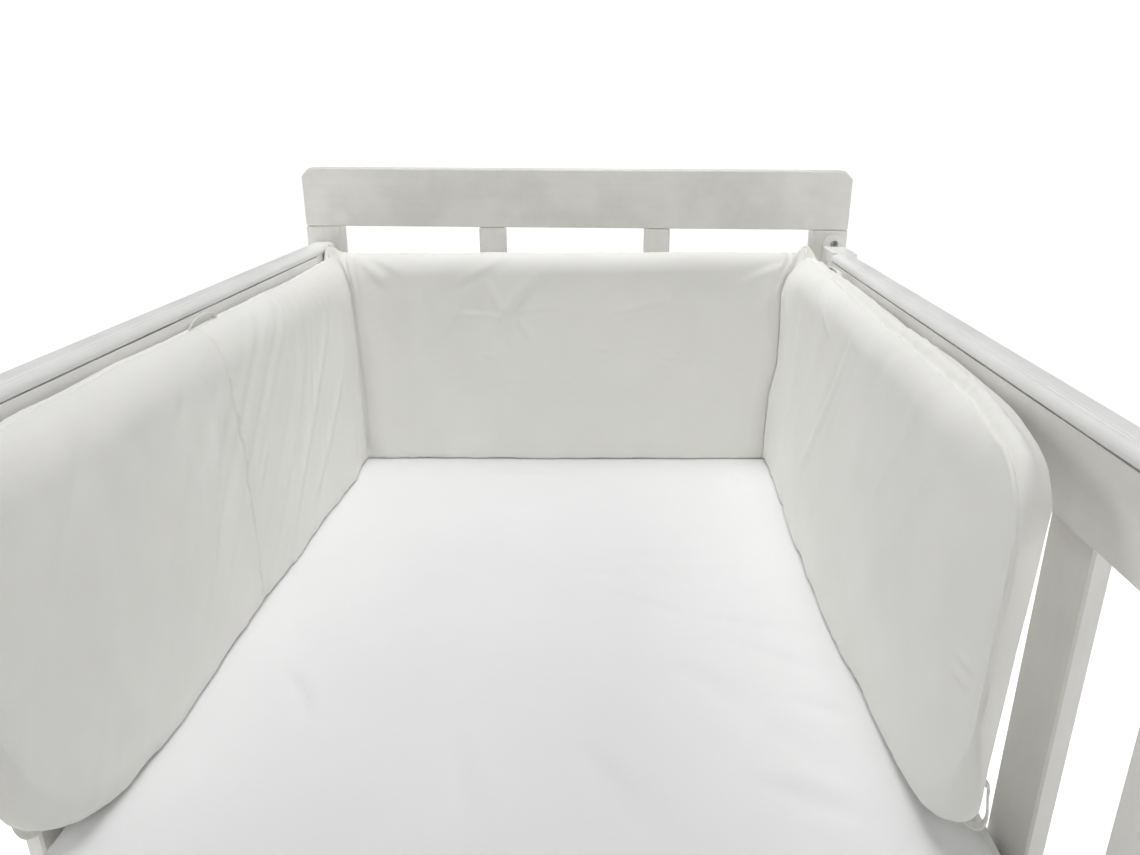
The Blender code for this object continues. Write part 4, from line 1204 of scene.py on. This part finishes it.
def top_seat(panel, from_head, inset):
    """The height of a side panel's upper side at an inset."""
    insets, heights = ring_of(section_at(panel, from_head))
    upper = slice(CREST_COLUMN, CREST_COLUMN + BACK_ROUND_STEPS + 1)
    return float(np.interp(-inset, -insets[upper], heights[upper]))


def add_tapes():
    for node, loop in TOP_LOOPS.items():
        panel = RIGHT_PANEL if loop.sign > 0 else LEFT_PANEL
        bends = []
        for turn in np.linspace(0, pi, 19):
            from_head = loop.nearest + loop.length / 2 * (1 - cos(turn))
            seat = top_seat(panel, from_head, loop.inset) - LOOP_SINK
            height = seat + (loop.tall + LOOP_SINK) * max(sin(turn), 0.0) ** LOOP_POWER
            bends.append(placed(loop.sign * (RAIL - loop.inset), HEAD - from_head, height))
        add_tape(node, smooth_route(bends), loop.across)
    for node, (sign, panel) in LOW_LOOPS.items():
        further = panel[-1].along - RIGHT_PANEL[-1].along
        closer = RIGHT_PANEL[-1].foot - panel[-1].foot
        bends = [
            placed(sign * (RAIL - bend.inset + closer), HEAD - bend.from_head - further, bend.height)
            for bend in LOW_LOOP_RIGHT
        ]
        across = (sign * LOW_LOOP_ACROSS[0], *LOW_LOOP_ACROSS[1:])
        add_tape(node, smooth_route(bends), across)


# Rail caps

CAP_OUT = 0.0231
CAP_THICK = 0.0063
CAP_ROUND = 0.0055
CAP_LIP = 0.0016
CAP_LIP_DEEP = 0.0060
CAP_BEAD = 0.0004
CAP_BEAD_OUT = 0.0078
CAP_STEP = 0.016
CAP_WOBBLE = 0.00025
BLOCK_BACK = 0.0015
BLOCK_BEVEL = 0.0010


def cap_outline():
    """The cap's section as distances out from the rail's inner face and down from its top."""
    outline = [(CAP_OUT, CAP_THICK), (CAP_OUT, 0.0012), (CAP_OUT - 0.0003, 0.0004)]
    outline += [(CAP_OUT - 0.0011, 0.0), (0.0160, 0.0), (0.0120, 0.0001), (0.0100, 0.0002)]
    for out in np.linspace(CAP_BEAD_OUT + 0.0014, CAP_ROUND + 0.0008, 7):
        outline.append((out, -CAP_BEAD * hump(out - CAP_BEAD_OUT, 0.0008) + 0.0001))
    for turn in np.linspace(0.1, pi / 2, 10):
        outline.append((CAP_ROUND * (1 - sin(turn)), CAP_ROUND * (1 - cos(turn))))
    outline += [(0.0, CAP_THICK + CAP_LIP - 0.0004), (0.0004, CAP_THICK + CAP_LIP)]
    outline += [(CAP_LIP_DEEP, CAP_THICK + CAP_LIP), (CAP_LIP_DEEP, CAP_THICK)]
    return np.array(outline)


def add_caps():
    for sign, name, paint in ((-1, "left_side_cap", CAP_LEFT), (1, "right_side_cap", CAP_RIGHT)):
        low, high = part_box(name)
        places = np.linspace(high.y, low.y, round((high.y - low.y) / CAP_STEP))[:, None]
        out, down = cap_outline().T[:, None, :]
        wobble = CAP_WOBBLE * soft_noise(places / 0.05, 0 * places, 53 + sign)
        wobble = wobble * smooth_step((0.009 - out) / 0.004)
        points = together(sign * (RAIL + out + wobble), places, high.z - down - wobble)
        cap = add_tube(f"{name}_board", points, paint)
        cap.data.shade_flat()
        stands_for(cap, name)


def add_box(name, low, high, finish, bevel=0.0):
    """A box between two corners, its edges bevelled."""
    low, high = Vector(low), Vector(high)
    shape = bmesh.new()
    bmesh.ops.create_cube(shape, size=1.0)
    bmesh.ops.scale(shape, vec=high - low, verts=shape.verts)
    bmesh.ops.translate(shape, vec=(low + high) / 2, verts=shape.verts)
    if bevel:
        bmesh.ops.bevel(
            shape, geom=shape.edges[:], offset=bevel, segments=3, profile=0.5,
            affect="EDGES", clamp_overlap=True,
        )
    mesh = bpy.data.meshes.new(name)
    shape.to_mesh(mesh)
    shape.free()
    mesh.materials.append(finish)
    return add_object(name, mesh)


def add_left_block():
    """The block that closes the left board's end, nearly level with the board's face."""
    low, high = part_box("left_side_head_block")
    front = (-RAIL - BLOCK_BACK, high.y, high.z)
    # The block wears the lighter, painted-light copy of the pale paint.
    block = add_box("left_block_board", low, front, PALE_LEFT_LIT, BLOCK_BEVEL)
    stands_for(block, "left_side_head_block")


# Rail brackets and their screws

BRACKET_BEVEL = 0.0012
LOBE_RADIUS = 0.0128
LOBE_THICK = 0.0030
LOBE_RISE = 0.0012
LOBE_DEEP = 0.005
LOBE_STEPS = 24
HOLE_RISE = 0.0024
SINK_RADIUS = 0.0056
SINK_DEEP = 0.0022
DIMPLE_RADIUS = 0.0040
DIMPLE_DEEP = 0.0012
DIMPLE_BACK = 0.030
DIMPLE_DOWN = 0.017
CUT_PAST = 0.001
SLOT_SIZE = (0.0042, 0.0075, 0.0046)
SCREW_RADIUS = 0.0047
SCREW_DOME = 0.0006
RECESS_RADIUS = 0.0022
RECESS_NARROW = 0.0008
SCREW_STEPS = 48


def turned(rings, segments, place, facing):
    """Rings of points about an axis, from distances out of it and along it."""
    turns = np.linspace(0, 2 * pi, segments, endpoint=False)
    aim = np.array(Vector(facing).to_track_quat("Z", "Y").to_matrix())
    rows = [together(out * np.cos(turns), out * np.sin(turns), along) for out, along in rings]
    return np.array(rows) @ aim.T + np.array(place)


def combine(body, operation, tool):
    """Join a solid to a body or cut it out, and keep only the result."""
    change = body.modifiers.new("combine", "BOOLEAN")
    change.operation = operation
    change.solver = "EXACT"
    change.object = tool
    depsgraph = bpy.context.evaluated_depsgraph_get()
    mesh = bpy.data.meshes.new_from_object(body.evaluated_get(depsgraph))
    body.modifiers.clear()
    body.data = mesh
    bpy.data.objects.remove(tool)


def add_bracket(node, sign):
    """The bracket that carries the right rail: a box with a slot, and a plate with its screw."""
    low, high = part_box(node)
    face, open_end = (high.y, low.y) if sign > 0 else (low.y, high.y)
    front = face - sign * LOBE_THICK
    middle = (low.x + high.x) / 2
    body = add_box(f"{node}_moulding", low, (high.x, high.y, CAP_TOP), PLASTIC, BRACKET_BEVEL)
    turns = np.linspace(0, pi, LOBE_STEPS + 1)
    x = middle + LOBE_RADIUS * np.append(np.cos(turns), (-1, 1))
    z = CAP_TOP + np.append(LOBE_RISE + LOBE_RADIUS * np.sin(turns), (-LOBE_DEEP, -LOBE_DEEP))
    plate = np.array([together(x, y, z) for y in (face, front)])
    combine(body, "UNION", add_tube("plate", plate, PLASTIC))
    hole = (middle, front, CAP_TOP + HOLE_RISE)
    sink = [(SINK_RADIUS, CUT_PAST), (SINK_RADIUS, 0.0), (0.0022, -SINK_DEEP)]
    sink = turned(sink, 32, hole, (0, -sign, 0))
    dimple = [(DIMPLE_RADIUS, CUT_PAST), (DIMPLE_RADIUS, 0.0)]
    dimple += [(0.0028, -0.0009), (0.0010, -DIMPLE_DEEP)]
    place = (low.x, face - sign * DIMPLE_BACK, CAP_TOP - DIMPLE_DOWN)
    dimple = turned(dimple, 24, place, (-1, 0, 0))
    for name, rings in (("sink", sink), ("dimple", dimple)):
        combine(body, "DIFFERENCE", add_tube(name, rings, PLASTIC))
    y_low, y_high = sorted((open_end - sign * CUT_PAST, open_end + sign * SLOT_SIZE[1]))
    slot_low = (low.x - CUT_PAST, y_low, CAP_TOP - SLOT_SIZE[2])
    slot_high = (low.x + SLOT_SIZE[0], y_high, CAP_TOP + CUT_PAST)
    combine(body, "DIFFERENCE", add_box("slot", slot_low, slot_high, PLASTIC))
    body.data.shade_flat()
    stands_for(body, node)
    add_screw(f"{node}_screw", hole, (0, -sign, 0))


def add_screw(name, place, facing):
    """A countersunk screw with a cross recess, sunk into the bracket's plate."""
    turns = np.linspace(0, 2 * pi, SCREW_STEPS, endpoint=False)
    star = mix(RECESS_NARROW, RECESS_RADIUS, np.abs(np.cos(2 * turns)) ** 2.5)
    rings = [(0.0016, -SINK_DEEP), (SCREW_RADIUS, -0.0006), (SCREW_RADIUS, -0.0003)]
    rings += [(0.0036, -0.0003 + SCREW_DOME * 0.6), (star, -0.0003 + SCREW_DOME)]
    rings += [(0.92 * star, -0.0006), (0.60 * star, -0.0019), (0.15 * star, -0.0020)]
    screw = add_tube(name, turned(rings, SCREW_STEPS, place, facing), SCREW)
    screw.data.shade_flat()
    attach(screw, "root")


# Floor

FLOOR_REACH = 14.0


def add_floor():
    corners = [(x * FLOOR_REACH, y * FLOOR_REACH, 0) for x, y in ((-1, -1), (1, -1), (1, 1), (-1, 1))]
    white = (1.0, 1.0, 1.0, 1.0)
    made = Finish("pale floor", 0.8, Emission_Color=white, Emission_Strength=BACKGROUND_WHITE)
    tone = made.noise(made.place(), 2.0, 2.0)
    made.colour(made.blend(tone, (0.90, 0.90, 0.90), (0.92, 0.92, 0.92)))
    add_mesh("floor", corners, [(0, 1, 2, 3)], made.material)


add_camera()
add_room()
add_lamps()
add_floor()
finish_boards()
add_bumper()
add_sheet()
add_mattress()
add_tapes()
add_caps()
add_left_block()
add_bracket("rail_bracket_head", 1)
add_bracket("rail_bracket_foot", -1)
